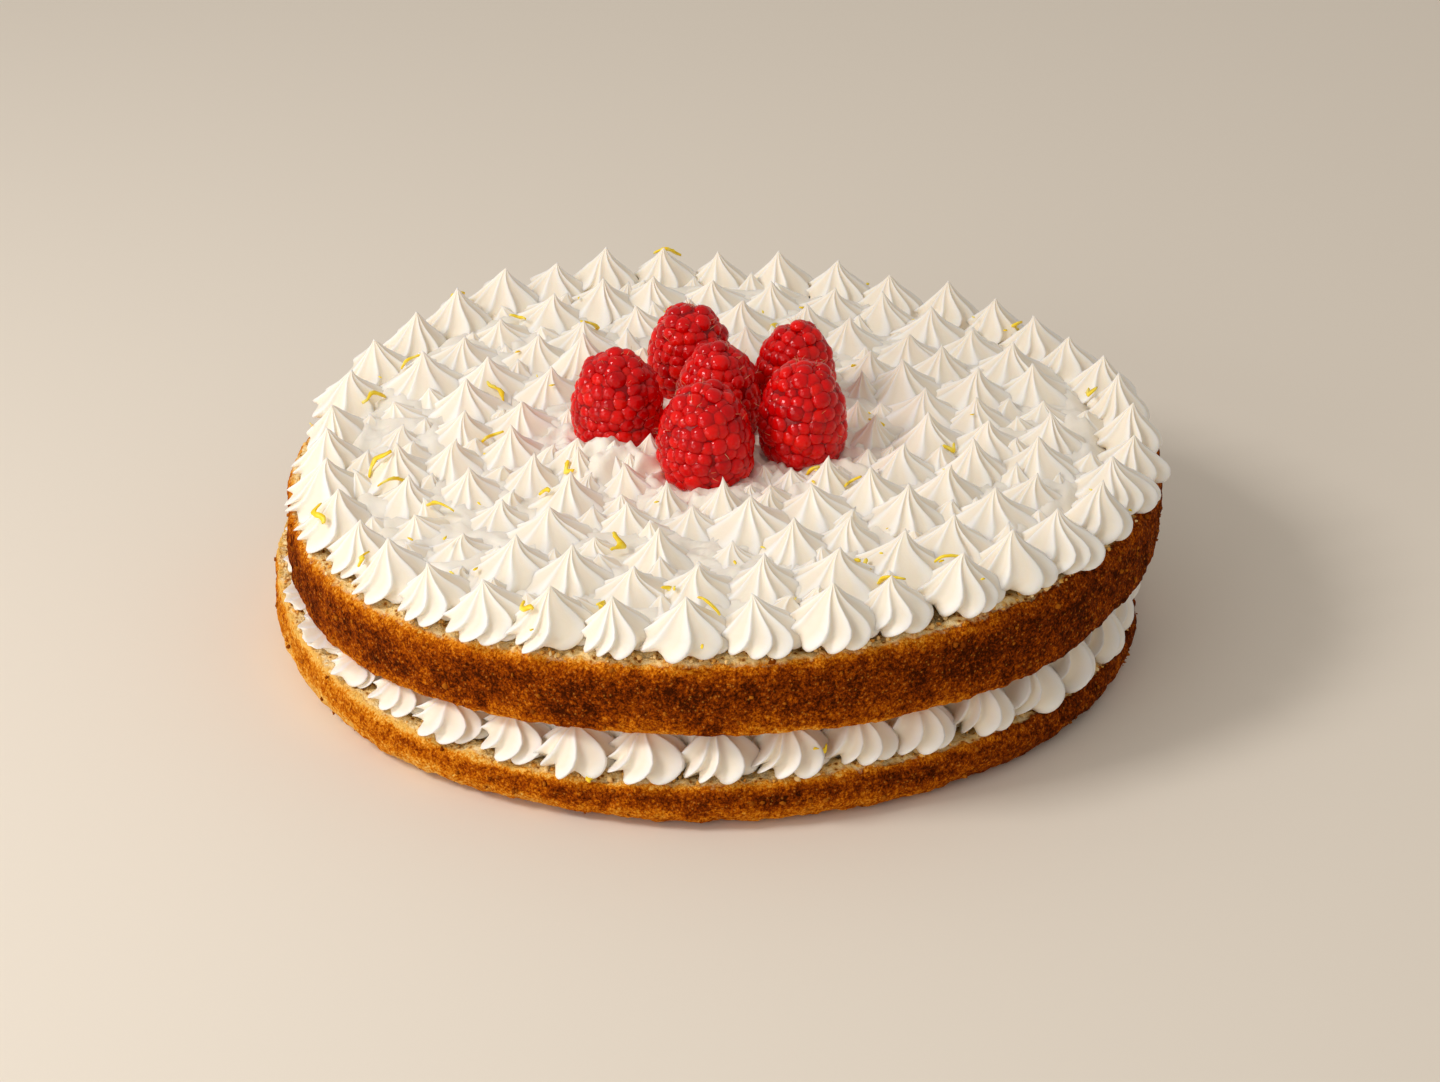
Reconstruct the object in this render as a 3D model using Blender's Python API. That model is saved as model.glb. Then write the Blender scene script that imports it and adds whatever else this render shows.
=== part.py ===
"""Lemon sandwich cake: two uneven round sponge layers, piped cream between and on top,
six raspberries standing in the middle and strands of lemon zest on the cream.

Metres, +Z up, front towards -Y. The origin is under the middle of the cake, at the height
of the surface that it stands on. Angles round the cake are in degrees from the front,
growing towards +X.
"""
import math
import random

import bmesh
import bpy
from mathutils import Matrix, Vector

MM = 0.001
GAP = 0.3 * MM                  # left between two pieces that touch

# ---- sponge layers ------------------------------------------------------------------
CAKE_RADIUS = 103.5 * MM        # baked in an 8 inch sandwich tin, with the crust's bulge
OVAL = 1.014                    # how much wider than deep the layers are
LAYER_SHIFT = 2.0 * MM          # the upper layer slid to the right, the lower to the left
SPONGE_SEGMENTS = 40
CREAM_SEGMENTS = 24
RIM_WAVE = 0.35 * MM            # how far the rim wanders in from a true circle
RIM_WAVES = 8                   # how many times round

# Each uneven face is a mean height and waves round the rim: (count, height, peak angle).
# A wave fades towards the middle, so the face stays smooth there.
LOWER_TOP = (12.9 * MM, ((1, 4.5 * MM, -110), (2, 1.2 * MM, 59), (3, 1.7 * MM, 24)))
UPPER_BOTTOM = (24.1 * MM, ((1, 3.7 * MM, 128), (2, 1.9 * MM, 34), (3, 1.7 * MM, -20)))
UPPER_TOP = (41.9 * MM, ((1, 2.9 * MM, 120), (2, 3.0 * MM, 35), (3, 1.2 * MM, -25)))

# A layer's outline from its middle underneath to its middle on top:
# (distance in from the rim, share of the layer's thickness). None is the middle itself.
LOWER_OUTLINE = ((None, 0.0), (45 * MM, 0.0), (7.0 * MM, 0.0), (2.6 * MM, 0.12),
                 (0.4 * MM, 0.36), (0.0, 0.62), (0.5 * MM, 0.9), (2.6 * MM, 1.0),
                 (45 * MM, 1.0), (None, 1.0))
UPPER_OUTLINE = ((None, 0.0), (45 * MM, 0.0), (2.2 * MM, 0.0), (0.5 * MM, 0.07),
                 (0.0, 0.4), (0.2 * MM, 0.82), (1.1 * MM, 0.94), (3.6 * MM, 1.0),
                 (45 * MM, 1.0), (None, 1.0))

# ---- cream --------------------------------------------------------------------------
KISS_RIDGES = 6                 # of the star nozzle, as far as the solid shows them
KISS_GROOVE = 0.72              # a groove's distance from the middle, as a share
KISS_HEIGHT = 12.6 * MM
KISS_SPREAD = 0.6               # a kiss's radius as a share of the pitch in its ring
# Outline of a kiss up to its tip: (share of height, share of radius, twist in degrees). A
# kiss at the rim stands on the sponge. The others start in the bed, so their hidden foot is
# a point.
RIM_KISS_OUTLINE = ((0.0, 0.88, 0), (0.2, 1.0, 6), (0.56, 0.46, 18))
KISS_OUTLINE = ((0.2, 1.0, 0), (0.56, 0.46, 12))
GROOVES_END = 0.5               # share of the height above which only ridges are left

TOPPING_CENTRE = (1.6 * MM, -0.1 * MM)
BED_THICKNESS = 2.8 * MM
BED_OUTLINE = ((None, 0.0), (52 * MM, 0.0), (11 * MM, 0.0), (11 * MM, 1.0),
               (52 * MM, 1.0), (None, 1.0))
# Rings of kisses on top: (radius, kisses, angle of the first).
TOPPING_RINGS = ((94.7 * MM, 39, -5.0), (79.0 * MM, 33, 6.7), (63.5 * MM, 27, 0.5),
                 (48.5 * MM, 20, 8.0))
KISS_WANDER = (0.7 * MM, 1.3 * MM, 1.8 * MM, 2.0 * MM)   # per ring
# More kisses hug the raspberries: how many are tried, their radius, and the least distance
# to a kiss already there.
HUGGING_KISSES = (18, 6.6 * MM, 9.0 * MM)
KISS_UNEVEN = 0.10              # how much kisses differ in size
TIP_LEAN = 1.3 * MM             # how far a tip bends over
TOPPING_SEED = 11

FILLING_CENTRE = (-1.8 * MM, 0.3 * MM)
FILLING_RING = (94.0 * MM, 39, 1.0)
FILLING_INNER = (80 * MM, 52 * MM, 0.0)   # rings of points on its flat faces, rim to middle
FILLING_FULL_GAP = 11.0 * MM    # a gap this high takes a kiss at its full width
FILLING_LEAST = 0.75            # of its full width, where there is no gap
FILLING_REACH = 0.53            # a kiss's radius as a share of the way to its neighbour
FILLING_LOBES = (-54, -18, 18, 54)   # where a kiss's outer lobes point, degrees from outwards
FILLING_TURN = 8                # how far a kiss is turned at most, in degrees
FILLING_SEED = 5
# Outline of a squashed kiss: (share of the gap, share of radius, twist).
SQUASHED_OUTLINE = ((0.0, 0.86, -4), (0.3, 1.0, 0), (1.0, 0.68, 8))

# ---- raspberries --------------------------------------------------------------------
# (x, y, widest radius, height, lean to the right in degrees)
RASPBERRIES = {
    "raspberry_left": (-23.4 * MM, -2.0 * MM, 11.5 * MM, 25.7 * MM, 0),
    "raspberry_back": (-5.8 * MM, 24.4 * MM, 11.0 * MM, 25.2 * MM, -1),
    "raspberry_middle": (0.7 * MM, 2.4 * MM, 10.9 * MM, 24.6 * MM, 0),
    "raspberry_front": (-1.8 * MM, -21.8 * MM, 11.9 * MM, 25.2 * MM, -3),
    "raspberry_right": (18.9 * MM, 14.2 * MM, 10.5 * MM, 24.2 * MM, 3),
    "raspberry_front_right": (20.4 * MM, -12.2 * MM, 11.0 * MM, 26.2 * MM, 1),
}
DRUPELETS_ROUND = 9
DRUPELET_SWELL = 1.3 * MM       # how far a drupelet stands out
DRUPELET_RISE = 0.35            # how much of that way is up, high on the berry
# From the foot up: (share of height, share of radius).
BERRY_OUTLINE = ((0.0, 0.66), (0.15, 0.87), (0.36, 0.93), (0.58, 0.86), (0.78, 0.69),
                 (0.93, 0.4))

# ---- lemon zest ---------------------------------------------------------------------
ZEST_STRANDS = (24, 12)         # left and right of the middle
ZEST_LENGTH = (3.5 * MM, 8.5 * MM)
ZEST_WIDTH = (0.9 * MM, 1.5 * MM)
ZEST_THICKNESS = 0.8 * MM
ZEST_BEND = 0.16                # rise of a strand's middle, as a share of its length
ZEST_NARROWING = 0.5            # how much narrower its ends are
ZEST_LEVEL = (0.3, 0.55)        # where on a kiss it lies, as a share of the kiss's height
ZEST_SINK = 0.88                # its distance from the kiss's middle, as a share of the side's
ZEST_SEED = 23

TOPPING_TRIANGLES = 9300        # kept of the union, whose seams are full of needless points

# ---- colours (linear) and finish ----------------------------------------------------
SPONGE_COLOUR = (0.45, 0.155, 0.028, 1)
CREAM_COLOUR = (0.87, 0.82, 0.72, 1)
BERRY_COLOUR = (0.48, 0.008, 0.012, 1)
SPONGE_ROUGHNESS = 0.85
CREAM_ROUGHNESS = 0.5
BERRY_ROUGHNESS = 0.35
SHARP_ANGLE = 40                # degrees; edges bent more than this are shaded sharp


def clear_scene():
    for item in list(bpy.data.objects):
        bpy.data.objects.remove(item, do_unlink=True)


def make_material(name, colour, roughness):
    material = bpy.data.materials.new(name)
    material.use_nodes = True
    shader = material.node_tree.nodes["Principled BSDF"]
    shader.inputs["Base Color"].default_value = colour
    shader.inputs["Roughness"].default_value = roughness
    shader.inputs["Metallic"].default_value = 0.0
    return material


def place(centre, distance, angle):
    """A point on the plan, this far from a centre at an angle in degrees from the front."""
    turn = math.radians(angle)
    return centre[0] + distance * math.sin(turn), centre[1] - distance * math.cos(turn)


def face_height(face, shift, x, y):
    """Height of an uneven face of a layer whose middle is slid sideways by shift."""
    mean, waves = face
    share = math.hypot(x - shift, y) / CAKE_RADIUS
    turn = math.degrees(math.atan2(x - shift, -y))
    return mean + sum(rise * share ** count * math.cos(math.radians(count * (turn - peak)))
                      for count, rise, peak in waves)


def lower_top(x, y):
    return face_height(LOWER_TOP, -LAYER_SHIFT, x, y)


def upper_bottom(x, y):
    return face_height(UPPER_BOTTOM, LAYER_SHIFT, x, y)


def upper_top(x, y):
    return face_height(UPPER_TOP, LAYER_SHIFT, x, y)


def ground(_x, _y):
    return 0.0


def add_object(name, form, material, collection):
    """Make a bmesh an object of its own."""
    bmesh.ops.recalc_face_normals(form, faces=form.faces)
    mesh = bpy.data.meshes.new(name)
    form.to_mesh(mesh)
    form.free()
    mesh.materials.append(material)
    mesh.shade_smooth()
    mesh.set_sharp_from_angle(angle=math.radians(SHARP_ANGLE))
    piece = bpy.data.objects.new(name, mesh)
    collection.objects.link(piece)
    return piece


def turned_layer(outline, centre, segments, oval, below, above):
    """Spin an outline round, widen it to an oval and lay it between two uneven faces."""
    form = bmesh.new()
    points = [form.verts.new((0.0 if inset is None else CAKE_RADIUS - inset, 0.0, share))
              for inset, share in outline]
    edges = [form.edges.new(pair) for pair in zip(points, points[1:])]
    bmesh.ops.spin(form, geom=points + edges, cent=(0, 0, 0), axis=(0, 0, 1),
                   angle=math.tau, steps=segments, use_merge=True)
    bmesh.ops.remove_doubles(form, verts=form.verts, dist=1e-6)
    for vert in form.verts:
        distance = math.hypot(vert.co.x, vert.co.y)
        turn = math.atan2(vert.co.x, -vert.co.y)
        inward = RIM_WAVE * (1 - math.cos(RIM_WAVES * turn)) / 2 * (distance / CAKE_RADIUS) ** 4
        scale = (distance - inward) / distance if distance else 1.0
        x = centre[0] + vert.co.x * scale * oval
        y = centre[1] + vert.co.y * scale
        low = below(x, y)
        vert.co = (x, y, low + vert.co.z * (above(x, y) - low))
    return form


def star_column(outline, radius, turn):
    """A pointed column with the star section of a piping nozzle, its tip at level 1.

    The middle of its underside is at 0, whatever level its outline starts at.
    """
    form = bmesh.new()
    made = bmesh.ops.create_circle(form, cap_ends=True, cap_tris=True, radius=radius,
                                   segments=2 * KISS_RIDGES)["verts"]
    ring = [vert for vert in made if vert.co.length > radius / 2]
    facing = 0.0                                # where the ring's first ridge points
    for level, share, twist in outline:
        if level > outline[0][0]:
            made = bmesh.ops.extrude_edge_only(form, edges=edges_within(form, ring))["geom"]
            ring = [item for item in made if isinstance(item, bmesh.types.BMVert)]
        now = turn + math.radians(twist)
        for vert in ring:
            corner = round((math.atan2(vert.co.y, vert.co.x) - facing) * KISS_RIDGES / math.pi)
            reach = radius * share * (KISS_GROOVE if corner % 2 else 1.0)
            if level > GROOVES_END:
                reach = radius * share
                corner -= corner % 2
            angle = now + corner * math.pi / KISS_RIDGES
            vert.co = (reach * math.cos(angle), reach * math.sin(angle), level)
        if level > GROOVES_END:
            bmesh.ops.remove_doubles(form, verts=ring, dist=radius / 100)
            ring = [vert for vert in ring if vert.is_valid]
        facing = now
    tip = bmesh.ops.extrude_edge_only(form, edges=edges_within(form, ring))["geom"]
    points = [item for item in tip if isinstance(item, bmesh.types.BMVert)]
    bmesh.ops.pointmerge(form, verts=points, merge_co=(0, 0, 1))
    return form


def edges_within(form, verts):
    """The edges of a form whose ends are both among these points."""
    return [edge for edge in form.edges if all(vert in verts for vert in edge.verts)]


def ring_spots(centre, ring, wander, draw):
    """Places of the kisses in one ring, each a little off its even place."""
    radius, count, first = ring
    for number in range(count):
        angle = first + number * 360 / count
        x, y = place(centre, radius, angle)
        yield x + draw.uniform(-wander, wander), y + draw.uniform(-wander, wander)


def room_between_berries(x, y):
    """Distance from a place on the plan to the nearest raspberry's side."""
    return min(math.hypot(x - berry_x, y - berry_y) - width
               for berry_x, berry_y, width, _height, _lean in RASPBERRIES.values())


def kiss_at(x, y, radius, draw):
    """A kiss of a slightly random size: (x, y, radius, height, turn, lean x, lean y)."""
    radius *= 1 + draw.uniform(-KISS_UNEVEN, KISS_UNEVEN)
    height = KISS_HEIGHT * (1 + draw.uniform(-KISS_UNEVEN, KISS_UNEVEN))
    turn = draw.uniform(0, math.tau)
    lean_x = draw.uniform(-TIP_LEAN, TIP_LEAN)
    lean_y = draw.uniform(-TIP_LEAN, TIP_LEAN)
    room = room_between_berries(x, y) - 2 * GAP
    if room < radius:
        height *= (1 + max(0, room) / radius) / 2
        radius = room
    return x, y, radius, height, turn, lean_x, lean_y


def topping_kisses():
    """Every kiss on top, ring by ring, and then those that hug the raspberries."""
    draw = random.Random(TOPPING_SEED)
    kisses = []
    for ring, wander in zip(TOPPING_RINGS, KISS_WANDER):
        pitch = math.tau * ring[0] / ring[1]
        for x, y in ring_spots(TOPPING_CENTRE, ring, wander, draw):
            kisses.append(kiss_at(x, y, pitch * KISS_SPREAD, draw))
    count, radius, clearance = HUGGING_KISSES
    for number in range(count):
        distance = 0.0
        x, y = TOPPING_CENTRE
        while room_between_berries(x, y) < radius:
            distance += MM
            x, y = place(TOPPING_CENTRE, distance, number * 360 / count)
        if min(math.dist((x, y), kiss[:2]) for kiss in kisses) > clearance:
            kisses.append(kiss_at(x, y, radius, draw))
    return kisses


def topping_kiss(kiss):
    x, y, radius, height, turn, lean_x, lean_y = kiss
    inside = math.dist((x, y), TOPPING_CENTRE) < TOPPING_RINGS[0][0] - radius
    form = star_column(KISS_OUTLINE if inside else RIM_KISS_OUTLINE, radius, turn)
    for vert in form.verts:
        level = vert.co.z
        spot_x = x + vert.co.x + lean_x * level ** 2
        spot_y = y + vert.co.y + lean_y * level ** 2
        foot = upper_top(spot_x, spot_y) + GAP
        vert.co = (spot_x, spot_y, foot + level * height)
    return form


def filling_kisses():
    """Every kiss between the layers: (x, y, radius, the way outwards, turn)."""
    draw = random.Random(FILLING_SEED)
    spots = list(ring_spots(FILLING_CENTRE, FILLING_RING, KISS_WANDER[0], draw))
    kisses = []
    for number, (x, y) in enumerate(spots):
        near = min(math.dist((x, y), spots[number - 1]),
                   math.dist((x, y), spots[(number + 1) % len(spots)]))
        squeeze = min(1.0, (upper_bottom(x, y) - lower_top(x, y)) / FILLING_FULL_GAP)
        radius = FILLING_REACH * near * (FILLING_LEAST + (1 - FILLING_LEAST) * squeeze)
        outwards = math.atan2(y - FILLING_CENTRE[1], x - FILLING_CENTRE[0])
        turn = math.radians(draw.uniform(-FILLING_TURN, FILLING_TURN))
        kisses.append((x, y, radius, outwards, turn))
    return kisses


def filling_rim(share, twist):
    """The filling's scalloped rim at one level, point by point round the cake."""
    kisses = filling_kisses()
    step = math.radians(FILLING_LOBES[1] - FILLING_LOBES[0])
    points = []
    for number, (x, y, radius, outwards, turn) in enumerate(kisses):
        first = outwards + turn + math.radians(FILLING_LOBES[0] + twist)
        for corner in range(2 * len(FILLING_LOBES) - 1):
            angle = first + corner * step / 2
            reach = radius * share * (KISS_GROOVE if corner % 2 else 1.0)
            points.append((x + reach * math.cos(angle), y + reach * math.sin(angle)))
        other_x, other_y = kisses[(number + 1) % len(kisses)][:2]
        points.append(((x + other_x) / 2, (y + other_y) / 2))
    return points


def kisses_with_zest(kisses, draw):
    """The kisses that carry a strand, more of them left of the middle than right of it."""
    left = [kiss for kiss in kisses if kiss[0] < 0]
    right = [kiss for kiss in kisses if kiss[0] >= 0]
    return draw.sample(left, ZEST_STRANDS[0]) + draw.sample(right, ZEST_STRANDS[1])


def zest_strand(kiss, draw):
    """A bent strip of peel, lying half sunk across the side of a kiss."""
    x, y, radius, height, _turn, _lean_x, _lean_y = kiss
    length = draw.uniform(*ZEST_LENGTH)
    width = draw.uniform(*ZEST_WIDTH)
    form = bmesh.new()
    bmesh.ops.create_cube(form, size=1.0)
    bmesh.ops.bisect_plane(form, geom=form.verts[:] + form.edges[:] + form.faces[:],
                           plane_co=(0, 0, 0), plane_no=(1, 0, 0))
    for vert in form.verts:
        rise = ZEST_BEND * length * (0.25 - vert.co.x ** 2) * 4
        narrow = 1 - ZEST_NARROWING * (2 * vert.co.x) ** 2
        vert.co = (vert.co.x * length, vert.co.y * width * narrow,
                   vert.co.z * ZEST_THICKNESS + rise)
    level = draw.uniform(*ZEST_LEVEL)
    reach = radius * (1 - level) * ZEST_SINK
    side = draw.uniform(0, math.tau)
    slope = math.atan2(height, radius)
    spot_x = x + reach * math.cos(side)
    spot_y = y + reach * math.sin(side)
    spot = (spot_x, spot_y, upper_top(spot_x, spot_y) + level * height)
    form.transform(Matrix.Translation(spot)
                   @ Matrix.Rotation(side, 4, "Z")
                   @ Matrix.Rotation(slope, 4, "Y")
                   @ Matrix.Rotation(draw.uniform(0, math.pi), 4, "Z"))
    return form


def fuse(core, extras, crowd):
    """Join a collection of pieces to a core by one union, and remove the pieces.

    The union leaves needless points along the seams, which are thinned out.
    """
    join = core.modifiers.new("joined", "BOOLEAN")
    join.operation = "UNION"
    join.operand_type = "COLLECTION"
    join.collection = crowd
    join.solver = "EXACT"
    keep_result(core)
    for piece in extras:
        bpy.data.objects.remove(piece, do_unlink=True)
    keep_largest_body(core.data)
    thin = core.modifiers.new("thinned", "DECIMATE")
    thin.ratio = TOPPING_TRIANGLES / len(core.data.polygons)
    keep_result(core)
    keep_largest_body(core.data)


def keep_result(piece):
    """Make an object's mesh what its modifiers give, and remove them."""
    graph = bpy.context.evaluated_depsgraph_get()
    mesh = bpy.data.meshes.new_from_object(piece.evaluated_get(graph), depsgraph=graph)
    piece.modifiers.clear()
    old = piece.data
    piece.data = mesh
    bpy.data.meshes.remove(old)
    mesh.name = piece.name


def keep_largest_body(mesh):
    """Drop loose scraps and the walls of sealed hollows."""
    form = bmesh.new()
    form.from_mesh(mesh)
    bmesh.ops.remove_doubles(form, verts=form.verts, dist=1e-6)
    left = set(form.faces)
    bodies = []
    while left:
        body = []
        front = [left.pop()]
        while front:
            face = front.pop()
            body.append(face)
            near = {other for edge in face.edges for other in edge.link_faces} & left
            left -= near
            front.extend(near)
        bodies.append(body)
    bodies.sort(key=len)
    for body in bodies[:-1]:
        bmesh.ops.delete(form, geom=body, context="FACES")
    bmesh.ops.triangulate(form, faces=form.faces)
    form.to_mesh(mesh)
    form.free()


def build_raspberry(name, material, collection):
    """A standing berry: staggered rows of drupelets round a blunt cone."""
    x, y, width, height, lean = RASPBERRIES[name]
    rows = len(BERRY_OUTLINE)
    form = bmesh.new()
    bmesh.ops.create_uvsphere(form, u_segments=DRUPELETS_ROUND, v_segments=rows + 1, radius=1.0)
    for vert in form.verts:
        row = round((1 - math.acos(max(-1.0, min(1.0, vert.co.z))) / math.pi) * (rows + 1)) - 1
        if row < 0:
            vert.co = (0, 0, 0)
        elif row >= rows:
            vert.co = (0, 0, height)
        else:
            level, share = BERRY_OUTLINE[row]
            angle = math.atan2(vert.co.y, vert.co.x) + row * math.pi / DRUPELETS_ROUND
            reach = share * width
            vert.co = (reach * math.cos(angle), reach * math.sin(angle), level * height)
    cells = [face for face in form.faces if len(face.verts) == 4]
    for vert in bmesh.ops.poke(form, faces=cells)["verts"]:
        out = Vector((vert.co.x, vert.co.y, DRUPELET_RISE * (vert.co.z - height / 3)))
        vert.co += out.normalized() * DRUPELET_SWELL
    foot = berry_foot(x, y, width)
    form.transform(Matrix.Translation((x, y, foot)) @ Matrix.Rotation(math.radians(lean), 4, "Y"))
    lowest = min(vert.co.z for vert in form.verts)
    form.transform(Matrix.Translation((0, 0, foot - lowest)))
    add_object(name, form, material, collection)


def berry_foot(x, y, width):
    """Height at which a berry's foot just clears the bed of cream."""
    spots = [place((x, y), width, angle) for angle in range(0, 360, 30)]
    return max(upper_top(*spot) for spot in spots) + BED_THICKNESS + GAP


def build_sponges(material, collection):
    lower = turned_layer(LOWER_OUTLINE, (-LAYER_SHIFT, 0), SPONGE_SEGMENTS, OVAL,
                         ground, lower_top)
    add_object("sponge_lower", lower, material, collection)
    upper = turned_layer(UPPER_OUTLINE, (LAYER_SHIFT, 0), SPONGE_SEGMENTS, OVAL,
                         upper_bottom, upper_top)
    add_object("sponge_upper", upper, material, collection)


def ring_above(form, ring):
    """Extrude a closed ring of points, and give the new ring in the same order."""
    made = bmesh.ops.extrude_edge_only(form, edges=edges_within(form, set(ring)))["geom"]
    fresh = [item for item in made if isinstance(item, bmesh.types.BMVert)]
    return [min(fresh, key=lambda vert, old=old: (vert.co - old.co).length) for old in ring]


def close_face(form, ring):
    """Run a flat face inwards from a rim, gathered to one point for each kiss."""
    middle_x, middle_y = FILLING_CENTRE
    level = ring[0].co.z
    step = math.tau / FILLING_RING[1]
    for distance in FILLING_INNER:
        ring = ring_above(form, ring)
        for vert in ring:
            angle = math.atan2(vert.co.y - middle_y, vert.co.x - middle_x)
            angle = round(angle / step) * step
            vert.co = (middle_x + distance * math.cos(angle),
                       middle_y + distance * math.sin(angle), level)
        bmesh.ops.remove_doubles(form, verts=ring, dist=1e-6)
        ring = [vert for vert in ring if vert.is_valid]


def build_filling(material, collection):
    """Squashed kisses round the rim, run together with the cream inside them."""
    form = bmesh.new()
    corners = 2 * len(FILLING_LOBES) * FILLING_RING[1]
    rim = bmesh.ops.create_circle(form, segments=corners, radius=1.0)["verts"]
    lowest = rim
    for level, share, twist in SQUASHED_OUTLINE:
        if level:
            rim = ring_above(form, rim)
        for vert, (x, y) in zip(rim, filling_rim(share, twist)):
            vert.co = (x, y, level)
    close_face(form, lowest)
    close_face(form, rim)
    for vert in form.verts:
        x, y, level = vert.co
        low, high = lower_top(x, y) + GAP, upper_bottom(x, y) - GAP
        vert.co.z = low + level * (high - low)
    bmesh.ops.triangulate(form, faces=form.faces)
    add_object("cream_filling", form, material, collection)


def build_topping(material, collection, crowd):
    core = turned_layer(BED_OUTLINE, TOPPING_CENTRE, CREAM_SEGMENTS, 1.0,
                        lambda x, y: upper_top(x, y) + GAP,
                        lambda x, y: upper_top(x, y) + BED_THICKNESS)
    topping = add_object("cream_topping", core, material, collection)
    kisses = topping_kisses()
    extras = [add_object("kiss", topping_kiss(kiss), material, crowd) for kiss in kisses]
    draw = random.Random(ZEST_SEED)
    for kiss in kisses_with_zest(kisses, draw):
        extras.append(add_object("zest", zest_strand(kiss, draw), material, crowd))
    fuse(topping, extras, crowd)


def main():
    clear_scene()
    scene = bpy.context.scene
    cake = bpy.data.collections.new("lemon_cake")
    crowd = bpy.data.collections.new("joined_pieces")
    scene.collection.children.link(cake)
    scene.collection.children.link(crowd)
    sponge = make_material("sponge", SPONGE_COLOUR, SPONGE_ROUGHNESS)
    cream = make_material("cream", CREAM_COLOUR, CREAM_ROUGHNESS)
    berry = make_material("raspberry", BERRY_COLOUR, BERRY_ROUGHNESS)
    build_sponges(sponge, cake)
    build_filling(cream, cake)
    build_topping(cream, cake, crowd)
    for name in RASPBERRIES:
        build_raspberry(name, berry, cake)
    bpy.data.collections.remove(crowd)


main()
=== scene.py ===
"""Looks of the lemon sandwich cake: crusty sponge layers, piped cream kisses between and on
top, raspberries built up from drupelets, strands of lemon zest and loose crumbs.

Metres, +Z up, front towards -Y. Angles round the cake are in degrees from the front, growing
towards +X. The rules that place kisses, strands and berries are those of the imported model.
"""
import math
import random

import bmesh
import bpy
import numpy as np
from mathutils import Matrix, Vector, noise


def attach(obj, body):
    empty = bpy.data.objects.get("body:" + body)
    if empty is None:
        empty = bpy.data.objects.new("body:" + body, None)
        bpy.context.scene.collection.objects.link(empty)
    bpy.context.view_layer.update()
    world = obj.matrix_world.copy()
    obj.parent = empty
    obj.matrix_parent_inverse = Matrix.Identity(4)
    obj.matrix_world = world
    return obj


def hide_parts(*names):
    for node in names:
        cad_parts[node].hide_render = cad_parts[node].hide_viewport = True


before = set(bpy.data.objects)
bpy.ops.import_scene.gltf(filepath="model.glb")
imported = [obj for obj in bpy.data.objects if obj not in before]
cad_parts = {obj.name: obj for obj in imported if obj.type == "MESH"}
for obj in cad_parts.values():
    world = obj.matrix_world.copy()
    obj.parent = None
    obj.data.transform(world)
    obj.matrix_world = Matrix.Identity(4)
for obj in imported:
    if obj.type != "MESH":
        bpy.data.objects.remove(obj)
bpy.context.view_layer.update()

MM = 0.001


def mm(*sizes):
    """Sizes in millimetres as metres."""
    return tuple(size * MM for size in sizes)


GAP = 0.3 * MM                  # left between the sponge, the cream and the berries

# ---- sponge layers ------------------------------------------------------------------
CAKE_RADIUS = 103.5 * MM
OVAL = 1.014                    # how much wider than deep the layers are
LAYER_SHIFT = 2.0 * MM          # the upper layer lies this far right, the lower one left
RIM_WAVE, RIM_WAVES = 0.35 * MM, 8   # shallow waves round the rim
SPONGE_STEPS = 720              # round the rim, 0.9 mm each
RIM_SPACING = 0.75 * MM         # between the rows of points up the crust

# Each uneven face: a mean height and waves round the rim (count, height, peak angle).
LOWER_TOP = (12.9 * MM, ((1, 4.5 * MM, -110), (2, 1.2 * MM, 59), (3, 1.7 * MM, 24)))
UPPER_BOTTOM = (24.1 * MM, ((1, 3.7 * MM, 128), (2, 1.9 * MM, 34), (3, 1.7 * MM, -20)))
UPPER_TOP = (41.9 * MM, ((1, 2.9 * MM, 120), (2, 3.0 * MM, 35), (3, 1.2 * MM, -25)))

# The rim of a layer from below to the top: (distance in from the rim, share of thickness).
LOWER_RIM = ((7.0 * MM, 0.0), (2.6 * MM, 0.12), (0.4 * MM, 0.36), (0.0, 0.62),
             (0.5 * MM, 0.9), (2.6 * MM, 1.0), (16 * MM, 1.0))
UPPER_RIM = ((2.2 * MM, 0.0), (0.5 * MM, 0.07), (0.0, 0.4), (0.2 * MM, 0.82),
             (1.1 * MM, 0.94), (3.6 * MM, 1.0), (16 * MM, 1.0))
MEAN_THICKNESS = 17 * MM        # only spaces the rows
HIDDEN_INSETS = (45 * MM, CAKE_RADIUS)   # rows of points on the covered flat parts

# Relief of the crust: (size, height in mm) of its dents, crags and grains. Waves of up to a
# millimetre are added towards the top: (size, share of the height where they start, growth).
CRUST_RELIEF = ((17 * MM, 0.5), (4.2 * MM, 0.5), (1.6 * MM, 0.44))
EDGE_WAVES = (8 * MM, 0.7, 5)
# Relief of the cut top: holes (size, how far one reaches as a share of it, depth in mm if it
# reached all of it) and lumps (size, height in mm).
CUT_FROM = 0.9                  # share of the height
HOLES, LUMPS = (2.6 * MM, 0.45, 3.2), (2.1 * MM, 0.35)
CUT_EDGE = (0.3, 1.5)           # mm: in from the edge where they start, and on to their full size

# How browned the side of a layer is at shares of its height, and what the far left adds: partly
# paler baking, partly painted light.
LOWER_BROWNING = ((0.0, 0.3), (0.4, 0.4), (0.55, 0.62), (0.78, 0.7), (0.9, 0.48), (1.0, 0.1))
UPPER_BROWNING = ((0.0, 0.34), (0.08, 0.58), (0.35, 0.76), (0.7, 0.78), (0.86, 0.58), (1.0, 0.12))
LOWER_LEFT_PALING_AND_LIGHT, UPPER_LEFT_PALING_AND_LIGHT = -0.33, -0.07

# ---- kisses of piped cream ----------------------------------------------------------
KISS_HEIGHT = 12.6 * MM
KISS_SPREAD = 0.6               # radius, as a share of the way to the next kiss
KISS_RIDGES = 9                 # of the star nozzle
POINTS_TO_A_RIDGE = 7
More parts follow.
